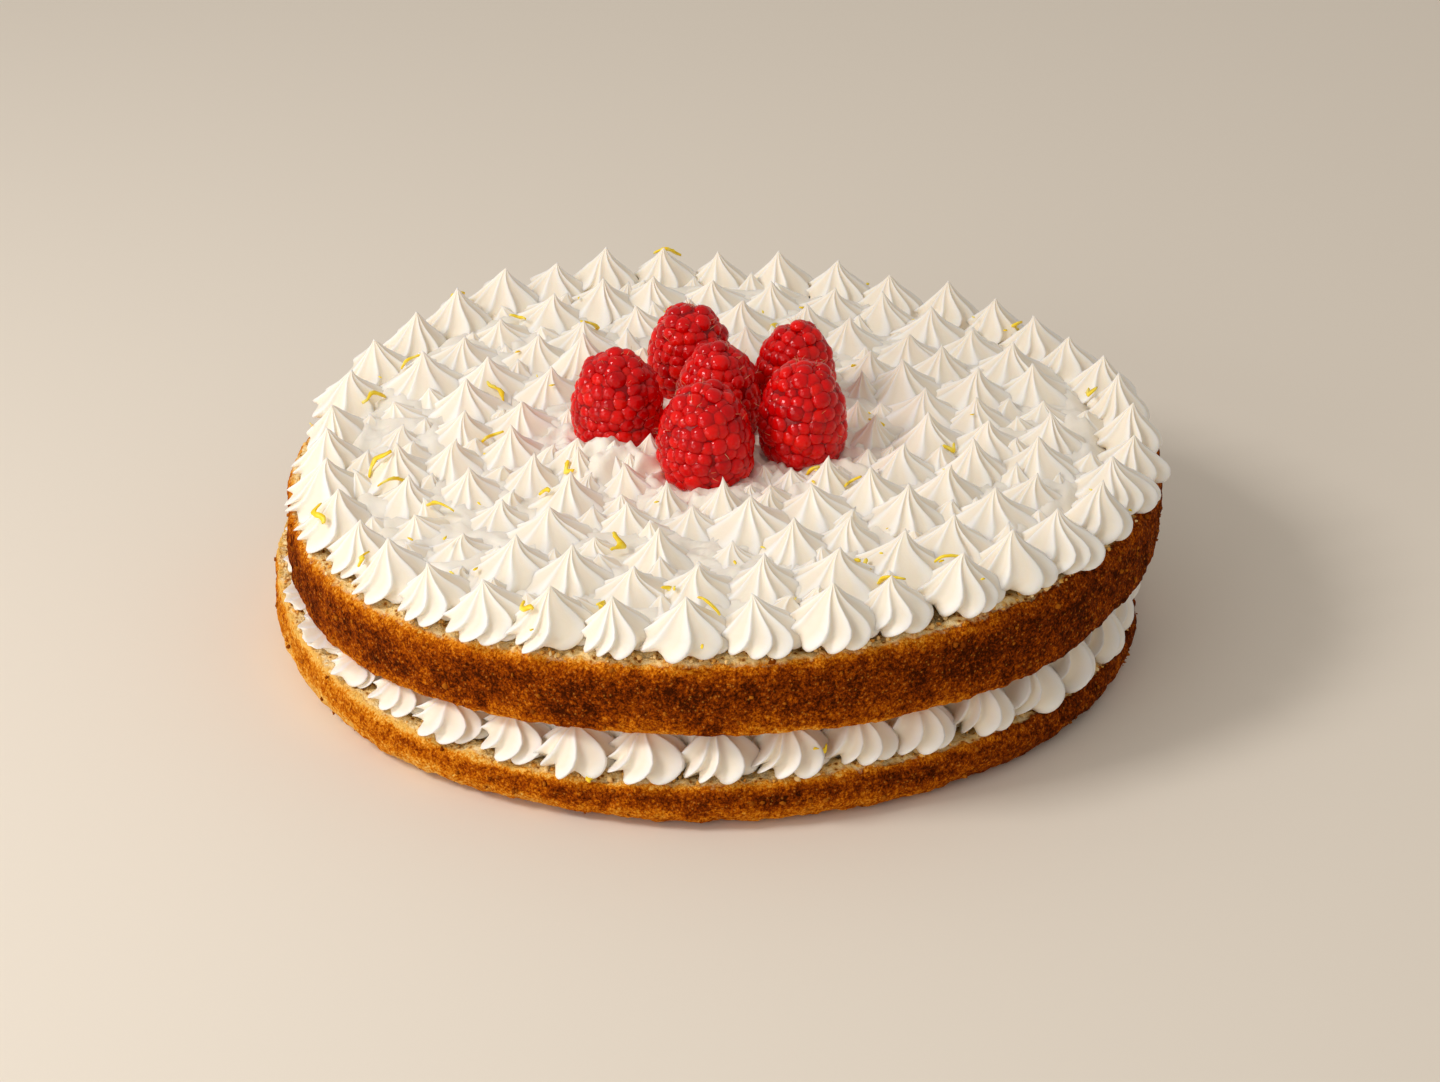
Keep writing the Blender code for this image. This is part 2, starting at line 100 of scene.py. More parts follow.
# Outline of a kiss from the middle of its foot to its tip: (share of radius, of height).
KISS_OUTLINE = ((0.0, 0.0), (0.6, 0.0), (0.87, 0.03), (0.98, 0.1), (1.0, 0.19), (0.93, 0.31),
                (0.66, 0.5), (0.34, 0.7), (0.12, 0.875), (0.0, 1.0))
OUTLINE_STEPS = 2               # from each of these points to the next
# Limits of what differs from kiss to kiss or from ridge to ridge: how much it swirls, how far
# a ridge and its lobe reach (shares of the radius), and how far a ridge strays from its even
# place (share of the way to the next).
SWIRLS, REACHES, LOBES, STRAYS = (0.7, 1.4), (-0.07, 0.07), (-0.1, 0.03), (-0.36, 0.36)
SWIRL_UP, SWIRL_BACK = 17, 22   # degrees: round the kiss half way up, and back at its foot
SWIRL_ENDS = (0.85, 0.45)       # shares of the height at which each of them ends
SWIRL_EASE = 1.4                # power by which the swing back fades from the foot up
CREST_CROWDING = 0.62           # how much closer together the points are at the crests
# Powers that move the groove towards one of its ridges and that narrow it: (on the ridges,
# what the lobes add).
GROOVE_SHIFT, GROOVE_SHARPNESS = (0.66, 0.2), (1.0, 1.6)
LOBE_LIFT = 0.1                 # the grooves between the lobes lift by this share of the height
TIP_HOOK = 0.9 * MM             # the furthest that a tip hooks to a side
HOOK_FROM = 0.8                 # share of the height where the hook starts
# How deep the notches are between the lobes and between the ridges above them, as shares of
# the kiss's radius.
TOPPING_NOTCH, FILLING_NOTCH = (0.19, 0.22), (0.3, 0.3)
FILLING_ROUNDED = 0.26          # share of a squashed kiss's height that is rounded lobes
FILLING_STEEPNESS = 1.45        # its height before it is pressed, as a share of its radius,
FILLING_PRESSED = 1.3           # and at least this many times the room it is pressed into
FILLING_FREE = 0.6              # share of the room that it fills before it feels the layer
FILLING_BULGE = (0.5, 0.3)      # how much wider what is pressed makes it, and at most
NOTCH_LEFT = 0.2                # share of the notches' depth that is left where the layers meet
# How much wider the soft feet run than the solid kisses, the share of kisses brushed low,
# and the share of the height up to which the ridges are rounded lobes.
SOFT_RIM, SOFT_INSIDE, SOFT_SMALL = (1.06, 0.0, 0.42), (1.5, 0.16, 0.62), (1.2, 0.0, 0.5)
SOFT_FILLING = 1.26             # how much wider those between the layers run
SOFT_UP_TO = 0.75               # share of the height where the wider run ends
MESSY_SIDE = (-15 * MM, 2.2)    # left of this, that many times as many are brushed low
BRUSHED_HEIGHTS = (0.68, 0.88)  # limits of the share of its height that one keeps
BRUSHED_LEAN = 2.5              # times as far as the others
SOFT_RADII = (0.93, 1.1)        # limits of their size, as a share of the solid kiss's
RIM_SLIDE = 2.6 * MM            # how far out the kisses at the far right of the rim slide
FILLING_SLIDE = 2.2 * MM        # and those between the layers are pressed outwards
# Small kisses near the berries: tries, reach, room to berries, room to kisses.
SMALL_KISSES = (500, *mm(44, 1.5, 7.0))
SMALL_RADIUS, SMALL_OVERLAP = mm(8.5, 4)   # at most, and how far one may run under a berry
SMALL_HEIGHTS = (0.75, 1.2)     # as shares of the radius
SMALL_LEAN = 2                  # times as far as the larger ones
SMALL_SEED = 8
# Dabs squeezed between the rings: tries, from and to this far out, room, radius, height.
DABS = (1500, mm(50, 89), 8.0 * MM, mm(6.0, 8.5), mm(6.5, 9.5))
DABS_RIGHT = 0.45               # share of them that is kept at the right
DAB_RIDGES = 6
DAB_POINTS = 5                  # to a ridge
DAB_SEED = 31
# Kisses drawn up close round the berries: (x, y, radius, height).
CLOSE_KISSES = (mm(-32.4, 37.0, 9.0, 15.5), mm(-32.5, -13.5, 10.5, 12.5),
                mm(-24.0, -17.0, 10.0, 13.0), mm(-15.6, -14.5, 9.0, 13.0),
                mm(-13.0, -4.5, 7.5, 11.0), mm(-12.4, -31.6, 8.0, 8.0),
                mm(7.6, -33.5, 8.5, 8.5), mm(11.5, -25.0, 6.0, 9.0),
                mm(17.5, -27.5, 8.5, 9.0), mm(-20.0, -20.0, 8.0, 11.0),
                mm(28.5, -24.0, 8.5, 8.0), mm(37.5, -2.5, 9.0, 6.0))

TOPPING_CENTRE = mm(1.6, -0.1)
# The rings of kisses: (radius, how many, angle of the first), and how far those of each stray.
TOPPING_RINGS = ((94.7 * MM, 39, -5.0), (79.0 * MM, 33, 6.7), (63.5 * MM, 27, 0.5),
                 (48.5 * MM, 20, 8.0))
KISS_WANDER = mm(0.7, 1.3, 1.8, 2.0)
HUGGING_KISSES = (18, 6.6 * MM, 9.0 * MM)   # round the berries: tries, radius, room to others
KISS_UNEVEN = 0.10              # share by which sizes differ
TIP_LEAN = 1.3 * MM             # the furthest that a tip leans, each way
TOPPING_SEED = 11

BED_RADIUS = 92.5 * MM
BED_ROWS, BED_STEPS = 90, 300   # of points to the middle, and round it
BED_THICKNESS = 2.8 * MM        # of the solid one, on which the berries stand
BED_RISES = (0.9, 3.7, 0.9)     # mm: at its edge, and what is added further in and at the berries
BED_SLOPE = 5 * MM              # it rises over this much from its edge
BERRY_SLOPE = mm(1.5, 9)        # folds are highest this far from a berry, and end this much on
# Folds of soft cream: (size, how far the crests stand out as a share of the height, height in
# mm), and slow waves (size, height in mm).
BERRY_FOLDS, BED_FOLDS, BED_WAVES = (5 * MM, 0.35, 5.5), (4.5 * MM, 0.3, 2.6), (8 * MM, 1.2)
EDGE_SWIRL = 0.2                # share of the bed's folds and waves that is left at its edge
# Painted shade: the bed between the kisses and the disc between the layers take part of the
# grooves' darker colour.
BED_SHADE, DISC_SHADE = 0.5, 0.3   # how deep in a groove their colour has them
# Cream heaped up near a berry's foot: (x, y, width, rise), and the share of the folds on it.
HEAPS, HEAP_FOLDS = (mm(-28.0, -16.5, 6.5, 4.0), mm(-20.0, -17.0, 6.0, 3.5)), 0.4

FILLING_CENTRE = mm(-1.8, 0.3)
FILLING_RING = (94.0 * MM, 39, 1.0)
FILLING_FULL_GAP = 11.0 * MM    # between the layers, where the kisses have their full size
FILLING_LEAST = 0.75            # share of it that they keep where the layers meet
FILLING_REACH = 0.53            # radius, as a share of the way to the next kiss
FILLING_TURN = 8                # degrees, each way
FILLING_DISC, DISC_RIPPLE = mm(95, 2.2)   # radius of the cream inside them, and its ripple
DISC_STEPS, DISC_RIPPLES = 12, 3   # to a kiss
LEAST_SQUEEZED = 2.4 * MM       # a kiss stays this high where the layers all but meet
FILLING_SEED = 5

# ---- raspberries --------------------------------------------------------------------
# (x, y, widest radius, height, lean to the right in degrees)
RASPBERRIES = {
    "raspberry_left": (*mm(-23.4, -2.0, 11.5, 25.7), 0),
    "raspberry_back": (*mm(-5.8, 24.4, 11.0, 25.2), -1),
    "raspberry_middle": (*mm(0.7, 2.4, 10.9, 24.6), 0),
    "raspberry_front": (*mm(-1.8, -21.8, 11.9, 25.2), -3),
    "raspberry_right": (*mm(18.9, 14.2, 10.5, 24.2), 3),
    "raspberry_front_right": (*mm(20.4, -12.2, 11.0, 26.2), 1),
}
# From the foot up: (share of radius, share of height).
BERRY_OUTLINE = ((0.0, 0.0), (0.5, 0.0), (0.72, 0.03), (0.9, 0.15), (0.98, 0.36), (0.91, 0.58),
                 (0.73, 0.78), (0.44, 0.93), (0.0, 1.0))
BERRY_STANCE = 0.7              # share of the radius that it stands on
DRUPELET_PITCH = 3.25 * MM
ROW_SPACING, FIRST_ROW = 0.86, 0.56   # as shares of the pitch: between rows, and to the first
DRUPELET_RADIUS = 2.4 * MM
DRUPELET_FLATNESS = 0.7         # its depth as a share of its width
# Limits of what differs from one to the next: size and width (shares), stray round the berry
# (share of the way to the next), stray up it, tilt (radians) and ripeness.
DRUPELET_SIZES, DRUPELET_WIDTHS, DRUPELET_STRAY = (0.84, 1.14), (0.86, 1.0), 0.26
DRUPELET_RISE, DRUPELET_TILT, DRUPELET_RIPENESS = 0.75 * MM, 0.18, (0.1, 0.55)
BERRY_CORE = mm(0.9, 0.4, 1.4)  # the core's radius is less by this, it is higher up and shorter
CORE_STEPS = 24
HAIRS = 34                      # on a berry
HAIR_LENGTH = mm(1.0, 2.2)
HAIR_ROOT = 0.5 * MM            # how deep it starts
HAIR_TILT = 0.8                 # how far it tilts along each axis for one step outwards
HAIR_CURL = 0.6                 # as a share of its length
HAIR_WIDTH = 0.14 * MM          # at its root

# ---- lemon zest ---------------------------------------------------------------------
ZEST_STRANDS = (24, 12)         # left and right of the middle
ZEST_LENGTH = mm(3.5, 8.5)
ZEST_WIDTH = mm(1.1, 1.8)
ZEST_THICKNESS = 0.55 * MM
ZEST_BEND = 0.1                 # rise in the middle, as a share of the length
ZEST_NARROWING = 0.5            # share of the width lost at the ends
ZEST_RAGGED = (0.9, 0.9 * MM)   # share of the width that the edges vary by, and over what length
ZEST_SWAY = 0.6                 # sideways, as a share of the width
ZEST_LEVEL = (0.3, 0.55)        # where strands lie on a kiss, as shares of its height
ZEST_LIFT = 0.14                # higher up the soft kisses than on the solid ones
ZEST_SINK = 0.88                # of the kiss's radius, so that it lies in the grooves
ZEST_SEED = 23
# Two strips that fell on the filling: (spot, length, turn, how steep).
FALLEN_ZEST = ((mm(22.2, -97.6, 17.4), 3.6 * MM, 20, 72),
               (mm(-27.6, -99.3, 11.6), 3.4 * MM, 40, 12))
ZEST_SPECKS = 70                # crumbs of peel on the kisses
ZEST_SPECK_SIZE = mm(0.5, 1.1)  # half its length
SPECK_SHAPE = (1.0, 0.5, 0.3)   # length, width and thickness, as shares of the length
SPECK_UNEVEN = (0.7, 1.2)       # limits of how far its points stand out
SPECK_LEVEL = (0.25, 0.75)      # where they lie, as shares of a kiss's height

# ---- crumbs -------------------------------------------------------------------------
LEDGE_CRUMBS = (600, mm(1.2, 6))   # loose on the lower layer's edge: how many, how far in
EDGE_CRUMBS = (900, mm(1.2, 7))    # stuck along the upper layer's cut edge
CRUST_CRUMBS = (500, (0.08, 0.97))   # standing out from the crust: how many, how high up
PALE_CRUMBS, BROWN_CRUMBS = (0.0, 0.5), (0.75, 1.0)   # limits of how toasted they are
CRUMB_SIZE = mm(0.25, 0.95)     # radius
CRUMB_UNEVEN = (0.6, 1.3)       # limits of how far a point stands out, and of each axis
CRUMB_SEED = 17

# ---- camera and light ---------------------------------------------------------------
CAMERA_PLACE = mm(-3.7, -716.05, 385.36)
CAMERA_TURN = (0.385, 27.13, -0.092)   # degrees: to the right, down, rolled
CAMERA_LENS, CAMERA_SENSOR = 82.5, 36  # mm
CAKE_MIDDLE = 40 * MM           # height that the lights face
FLOOR_SIZE = 3.0                # metres, half its side
SURROUND = 0.48                 # strength of the light from all round
# Soft lights, from the upper left and low at the front left: (spot, side, watts, colour).
LIGHTS = {"key": ((-0.64, -0.26, 0.68), 0.26, 3.9, (1.0, 0.96, 0.95)),
          "fill": ((-0.85, -0.95, 0.28), 0.9, 5.6, (1.0, 0.975, 0.95))}


# ---- small tools --------------------------------------------------------------------
def linear(code):
    """An sRGB hex value as linear red, green, blue and alpha."""
    shares = [int(code[start:start + 2], 16) / 255 for start in (0, 2, 4)]
    return (*(share / 12.92 if share <= 0.04045 else ((share + 0.055) / 1.055) ** 2.4
              for share in shares), 1.0)


def clamped(value):
    """A value kept between 0 and 1."""
    return min(1.0, max(0.0, value))


def mesh_of(form, name):
    """Turn a bmesh into a mesh."""
    mesh = bpy.data.meshes.new(name)
    form.to_mesh(mesh)
    form.free()
    return mesh


def new_object(name, data):
    """Put a mesh, a light or a camera in the scene."""
    made = bpy.data.objects.new(name, data)
    bpy.context.scene.collection.objects.link(made)
    return made


def new_material(name, values):
    """A material with these values on its Principled surface: (material, tree, shader)."""
    material = bpy.data.materials.new(name)
    material.use_nodes = True
    tree = material.node_tree
    shader = tree.nodes["Principled BSDF"]
    for socket, value in values.items():
        shader.inputs[socket].default_value = value
    return material, tree, shader


def add_node(tree, kind, settings=None, values=None, links=None, stops=None, feeds=None):
    """Add a node with its settings, its sockets' values, its links and a ramp's stops.

    A link comes from an output, or from the first output of a node. The first output of the
    new node goes to the socket that it feeds.
    """
    node = tree.nodes.new("ShaderNode" + kind)
    for name, value in (settings or {}).items():
        setattr(node, name, value)
    for socket, value in (values or {}).items():
        node.inputs[socket].default_value = value
    for socket, source in (links or {}).items():
        output = source.outputs[0] if isinstance(source, bpy.types.Node) else source
        tree.links.new(output, node.inputs[socket])
    if feeds:
        tree.links.new(node.outputs[0], feeds)
    if stops:
        ramp = node.color_ramp
        while len(ramp.elements) < len(stops):
            ramp.elements.new(0.5)
        for element, (position, colour) in zip(ramp.elements, stops):
            element.position = position
            element.color = linear(colour) if isinstance(colour, str) else (colour,) * 3 + (1,)
    return node


def curve_through(points, steps):
    """A smooth curve through these points, with this many steps from each to the next."""
    ends = [points[0], *points, points[-1]]
    made = []
    for before, start, stop, after in zip(ends, ends[1:], ends[2:], ends[3:]):
        for step in range(steps):
            share = step / steps
            made.append(tuple(
                0.5 * (2 * b + (c - a) * share + (2 * a - 5 * b + 4 * c - d) * share ** 2
                       + (3 * b - a - 3 * c + d) * share ** 3)
                for a, b, c, d in zip(before, start, stop, after)))
    return [*made, points[-1]]


def spun(outline, steps):
    """Spin an outline of (radius, height) round the Z axis into a closed form."""
    form = bmesh.new()
    points = [form.verts.new((radius, 0.0, height)) for radius, height in outline]
    edges = [form.edges.new(pair) for pair in zip(points, points[1:])]
    bmesh.ops.spin(form, geom=points + edges, cent=(0, 0, 0), axis=(0, 0, 1),
                   angle=math.tau, steps=steps, use_merge=True)
    bmesh.ops.remove_doubles(form, verts=form.verts, dist=1e-7)
    bmesh.ops.recalc_face_normals(form, faces=form.faces)
    return form


def cut_across(form, spot, direction):
    """Cut the faces of a form where a plane crosses them."""
    bmesh.ops.bisect_plane(form, geom=form.verts[:] + form.edges[:] + form.faces[:],
                           plane_co=spot, plane_no=direction)


def finish_piece(name, form, material, slot, *nodes):
    """Make a bmesh or a mesh a smooth piece of the cake that stands for these nodes."""
    mesh = mesh_of(form, name) if isinstance(form, bmesh.types.BMesh) else form
    mesh.name = name
    mesh.materials.append(material)
    mesh.shade_smooth()
    piece = new_object(name, mesh)
    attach(piece, "root")
    if nodes:
        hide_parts(*nodes)
    return piece


def repeated(unit, places, **attributes):
    """Many copies of one form in a single mesh, each with its own points.

    An attribute has one value for every point of every copy.
    """
    single = bpy.data.meshes.new("unit")
    unit.to_mesh(single)
    form = bmesh.new()
    for _ in places:
        form.from_mesh(single)
    mesh = mesh_of(form, "copies")
    bpy.data.meshes.remove(single)
    mesh.vertices.foreach_set("co", np.concatenate(places).astype(np.float32).ravel())
    for name, values in attributes.items():
        layer = mesh.attributes.new(name, "FLOAT", "POINT")
        layer.data.foreach_set("value", np.concatenate(values).astype(np.float32))
    mesh.update()
    return mesh


def points_of(form):
    """The points of a bmesh as an array."""
    return np.array([vert.co for vert in form.verts])


# ---- the cake's own rules -----------------------------------------------------------
def place(centre, distance, angle):
    """A point on the plan, this far from a centre at an angle in degrees from the front."""
    turn = math.radians(angle)
    return centre[0] + distance * math.sin(turn), centre[1] - distance * math.cos(turn)


def face_height(face, shift, x, y):
    """Height of an uneven face of a layer slid sideways by shift, for a point or an array."""
    mean, waves = face
    share = np.hypot(x - shift, y) / CAKE_RADIUS
    turn = np.degrees(np.arctan2(x - shift, -y))
    return mean + sum(rise * share ** count * np.cos(np.radians(count * (turn - peak)))
                      for count, rise, peak in waves)


def lower_top(x, y):
    """Height of the lower layer's top."""
    return face_height(LOWER_TOP, -LAYER_SHIFT, x, y)


def upper_bottom(x, y):
    """Height of the upper layer's underside."""
    return face_height(UPPER_BOTTOM, LAYER_SHIFT, x, y)


def upper_top(x, y):
    """Height of the upper layer's top."""
    return face_height(UPPER_TOP, LAYER_SHIFT, x, y)


def ground(x, _y):
    """Height of what the cake stands on."""
    return 0.0 * x


def ring_spots(centre, ring, wander, draw):
    """Places of the kisses in one ring, each a little off its even place."""
    radius, count, first = ring
    for number in range(count):
        angle = first + number * 360 / count
        x, y = place(centre, radius, angle)
        yield x + draw.uniform(-wander, wander), y + draw.uniform(-wander, wander)


def room_between_berries(x, y):
    """Distance from a place on the plan to the nearest raspberry's side."""
    return min(math.hypot(x - berry_x, y - berry_y) - width
               for berry_x, berry_y, width, _height, _lean in RASPBERRIES.values())


def kiss_at(x, y, radius, draw):
    """A kiss of a slightly random size: (x, y, radius, height, turn, lean x, lean y)."""
    radius *= 1 + draw.uniform(-KISS_UNEVEN, KISS_UNEVEN)
    height = KISS_HEIGHT * (1 + draw.uniform(-KISS_UNEVEN, KISS_UNEVEN))
    turn = draw.uniform(0, math.tau)
    lean_x = draw.uniform(-TIP_LEAN, TIP_LEAN)
    lean_y = draw.uniform(-TIP_LEAN, TIP_LEAN)
    room = room_between_berries(x, y) - 2 * GAP
    if room < radius:
        height *= (1 + max(0, room) / radius) / 2
        radius = room
    return x, y, radius, height, turn, lean_x, lean_y


def topping_kisses():
    """Every kiss on top: one list for each ring, and one of those that hug the berries."""
    draw = random.Random(TOPPING_SEED)
    rings = []
    for ring, wander in zip(TOPPING_RINGS, KISS_WANDER):
        pitch = math.tau * ring[0] / ring[1]
        rings.append([kiss_at(x, y, pitch * KISS_SPREAD, draw)
                      for x, y in ring_spots(TOPPING_CENTRE, ring, wander, draw)])
    kisses = [kiss for ring in rings for kiss in ring]
    count, radius, clearance = HUGGING_KISSES
    hugging = []
    for number in range(count):
        distance = 0.0
        x, y = TOPPING_CENTRE
        while room_between_berries(x, y) < radius:
            distance += MM
            x, y = place(TOPPING_CENTRE, distance, number * 360 / count)
        if min(math.dist((x, y), kiss[:2]) for kiss in kisses + hugging) > clearance:
            hugging.append(kiss_at(x, y, radius, draw))
    return [*rings, hugging]


def small_kiss(x, y, radius, height, draw):
    """A small soft kiss of this size, turned and leaning at random."""
    turn = draw.uniform(0, math.tau)
    lean_x, lean_y = (draw.uniform(-SMALL_LEAN, SMALL_LEAN) * TIP_LEAN for _ in range(2))
    return x, y, radius, height, turn, lean_x, lean_y, SOFT_SMALL


def small_kisses(kisses):
    """Kisses drawn up close to the berries, and little ones squeezed into what room is left."""
    draw = random.Random(SMALL_SEED)
    tries, reach, to_berries, to_kisses = SMALL_KISSES
    small = [(*kiss, draw.uniform(0, math.tau), 0.0, 0.0, SOFT_SMALL) for kiss in CLOSE_KISSES]
    for _ in range(tries):
        x, y = place(TOPPING_CENTRE, reach * math.sqrt(draw.random()), draw.uniform(0, 360))
        near = min(math.dist((x, y), kiss[:2]) for kiss in kisses + small)
        room = room_between_berries(x, y)
        if near < to_kisses or room < to_berries:
            continue
        radius = min(SMALL_RADIUS, room + SMALL_OVERLAP)
        small.append(small_kiss(x, y, radius, radius * draw.uniform(*SMALL_HEIGHTS), draw))
    return small


def dabs_between(kisses):
    """Little dabs of cream that fill what room the rings leave, mostly at the left."""
    draw = random.Random(DAB_SEED)
    tries, reach, room, radii, heights = DABS
    dabs = []
    for _ in range(tries):
        x, y = place(TOPPING_CENTRE, draw.uniform(*reach), draw.uniform(0, 360))
        kept = draw.random() < (1.0 if x < 0 else DABS_RIGHT)
        near = min(math.dist((x, y), kiss[:2]) for kiss in kisses + dabs)
        if kept and near > room:
            dabs.append(small_kiss(x, y, draw.uniform(*radii), draw.uniform(*heights), draw))
    return dabs


def softened(kisses, softness, draw):
    """Kisses as soft cream: run wider than their solids, and some of them brushed low."""
    _wider, brushed, _rounded = softness
    soft = []
    for x, y, radius, height, turn, lean_x, lean_y in kisses:
        messy = MESSY_SIDE[1] if x < MESSY_SIDE[0] else 1.0
        if draw.random() < brushed * messy:
            height *= draw.uniform(*BRUSHED_HEIGHTS)
            lean_x, lean_y = BRUSHED_LEAN * lean_x, BRUSHED_LEAN * lean_y
        if brushed == 0.0:
            x += RIM_SLIDE * max(0.0, x / CAKE_RADIUS)
        radius *= draw.uniform(*SOFT_RADII)
        soft.append((x, y, radius, height, turn, lean_x, lean_y, softness))
    return soft


def filling_kisses():
    """Every kiss between the layers: (x, y, radius, turn)."""
    draw = random.Random(FILLING_SEED)
    spots = list(ring_spots(FILLING_CENTRE, FILLING_RING, KISS_WANDER[0], draw))
    kisses = []
    for number, (x, y) in enumerate(spots):
        near = min(math.dist((x, y), spots[number - 1]),
                   math.dist((x, y), spots[(number + 1) % len(spots)]))
        squeeze = min(1.0, (upper_bottom(x, y) - lower_top(x, y)) / FILLING_FULL_GAP)
        radius = FILLING_REACH * near * (FILLING_LEAST + (1 - FILLING_LEAST) * squeeze)
        outwards = math.atan2(y - FILLING_CENTRE[1], x - FILLING_CENTRE[0])
        turn = math.radians(draw.uniform(-FILLING_TURN, FILLING_TURN))
        kisses.append((x, y, radius, outwards + turn))
    return kisses


def berry_foot(x, y, width):
    """Height at which a berry's foot just clears the bed of cream."""
    spots = [place((x, y), width, angle) for angle in range(0, 360, 30)]
    return max(upper_top(*spot) for spot in spots) + BED_THICKNESS + GAP


# ---- materials ----------------------------------------------------------------------
def baked_sponge(name, browning, paling_and_light_at_left):
    """Sponge baked in a tin: a dry grainy crust, brown where it met the tin and paler at its edges
    and underneath, and the pale open crumb where the top was cut level. It is paler towards the
    left and darker towards the right, partly from baking and partly as painted light and painted
    shade."""
    material, tree, shader = new_material(name, {"Roughness": 0.9, "Specular IOR Level": 0.03})
    where = add_node(tree, "TexCoord").outputs["Object"]
    level = add_node(tree, "Attribute", {"attribute_name": "level"}).outputs["Fac"]
    inset = add_node(tree, "Attribute", {"attribute_name": "inset_mm"}).outputs["Fac"]
    patches, mottling, grains = (
        add_node(tree, "TexNoise", links={"Vector": where},
                 values={"Scale": 1 / size, "Detail": detail, "Roughness": roughness})
        for size, detail, roughness in ((15 * MM, 4, 0.6), (3.2 * MM, 5, 0.7), (0.6 * MM, 2, 0.7)))

    # The crust: browned by its height and its side of the cake, in patches, mottles and grains.
    # The side's share is partly uneven baking, and partly painted light at the left and painted
    # shade at the right.
    centred = [add_node(tree, "Math", {"operation": "SUBTRACT"}, {1: 0.5}, {0: source})
               for source in (patches, mottling, grains)]
    wavy_level = add_node(tree, "Math", {"operation": "MULTIPLY_ADD"}, {1: 0.3},
                          {0: centred[0], 2: level})
    baked = add_node(tree, "ValToRGB", links={"Fac": wavy_level}, stops=browning)
    side = add_node(tree, "SeparateXYZ", links={"Vector": where}).outputs["X"]
    # Paler towards the far left, partly from baking and partly as painted light from the left;
    # darker towards the right, partly from browning and partly as painted shade.
    left_paling_and_light, rightness, right_browning_and_shade = (
        add_node(tree, "MapRange", links={"Value": side},
                 values={"From Min": start, "From Max": stop, "To Min": low, "To Max": high})
        for start, stop, low, high in ((*mm(-100, -10), paling_and_light_at_left, 0.0), (*mm(20, 100), 0.0, 0.05),
                                       (*mm(15, 75), 0.0, 0.68)))
    # Painted shade together with deeper browning: towards the right, away from the light, the
    # crust is held at least this dark.
    brown = add_node(tree, "Math", {"operation": "MAXIMUM"}, links={0: baked, 1: right_browning_and_shade})
    for source, strength in zip(centred, (0.7, 0.9, 1.25)):
        brown = add_node(tree, "Math", {"operation": "MULTIPLY_ADD"}, {1: strength},
                         {0: source, 2: brown})
    specks = add_node(tree, "TexVoronoi", {"feature": "F1"}, {"Scale": 1 / (1.3 * MM)},
                      {"Vector": where})
    pits = add_node(tree, "MapRange", values={"From Min": 0.4, "From Max": 0.8, "To Max": 0.13},
                    links={"Value": specks})
    # Painted light at the left, painted shade at the right, and the crust's own dark pits.
    for source in (left_paling_and_light, rightness, pits):
        brown = add_node(tree, "Math", {"operation": "ADD"}, links={0: brown, 1: source})
    crust = add_node(tree, "ValToRGB", links={"Fac": brown}, stops=(
        (0.0, "F6C264"), (0.18, "EC9C2C"), (0.36, "D4780E"), (0.55, "AA5004"),
        (0.76, "7A2F02"), (1.0, "401600")))
    sugar = add_node(tree, "MapRange", values={"From Min": 0.24, "From Max": 0.1, "To Max": 0.4},
                     links={"Value": specks})
    grainy = add_node(tree, "Mix", {"data_type": "RGBA"}, {7: linear("E89C3C")},
                      {0: sugar, 6: crust})

    # The open crumb: pale and full of pores, in from a ragged edge that is wider at the right.
    pores = add_node(tree, "TexVoronoi", {"feature": "SMOOTH_F1"},
                     {"Scale": 1 / (1.7 * MM), "Randomness": 1.0, "Smoothness": 0.1},
                     {"Vector": where})
    crumb = add_node(tree, "ValToRGB", links={"Fac": pores}, stops=(
        (0.0, "6E3610"), (0.18, "B87430"), (0.32, "F5CA7C"), (0.6, "FEE0A2"), (1.0, "FFECC0")))
    ragged = add_node(tree, "Math", {"operation": "MULTIPLY_ADD"}, {1: 4.4},
                      {0: mottling, 2: inset})
    covered = add_node(tree, "Math", {"operation": "MULTIPLY_ADD"}, {1: -12.0},
                       {0: rightness, 2: ragged})
    cut = add_node(tree, "MapRange", values={"From Min": 3.4, "From Max": 4.4},
                   links={"Value": covered})
    on_top = add_node(tree, "Math", {"operation": "GREATER_THAN"}, {1: CUT_FROM}, {0: level})
    open_crumb = add_node(tree, "Math", {"operation": "MULTIPLY"}, links={0: cut, 1: on_top})
    surface = add_node(tree, "Mix", {"data_type": "RGBA"},
                       links={0: open_crumb, 6: grainy.outputs[2], 7: crumb})
    tree.links.new(surface.outputs[2], shader.inputs["Base Color"])

    rough = add_node(tree, "Math", {"operation": "ADD"}, links={0: grains, 1: mottling})
    pitted = add_node(tree, "Math", {"operation": "MULTIPLY_ADD"}, {1: -3.0}, {0: pits, 2: rough})
    add_node(tree, "Bump", values={"Strength": 0.8, "Distance": 0.9 * MM},
             links={"Height": pitted}, feeds=shader.inputs["Normal"])
    return material


def loose_crumb():
    """Crumbs of sponge: dry and matt, from pale crumb to toasted crust."""
    material, tree, shader = new_material("loose_sponge_crumb",
                                          {"Roughness": 0.9, "Specular IOR Level": 0.05})
    toast = add_node(tree, "Attribute", {"attribute_name": "toast"}).outputs["Fac"]
    add_node(tree, "ValToRGB", links={"Fac": toast}, feeds=shader.inputs["Base Color"], stops=(
        (0.0, "FAE3AC"), (0.35, "EFB658"), (0.65, "C9761A"), (1.0, "7A3604")))
    where = add_node(tree, "TexCoord").outputs["Object"]
    grains = add_node(tree, "TexNoise", values={"Scale": 1 / (0.4 * MM), "Detail": 2},
                      links={"Vector": where})
    add_node(tree, "Bump", values={"Strength": 0.6, "Distance": 0.2 * MM},
             links={"Height": grains}, feeds=shader.inputs["Normal"])
    return material


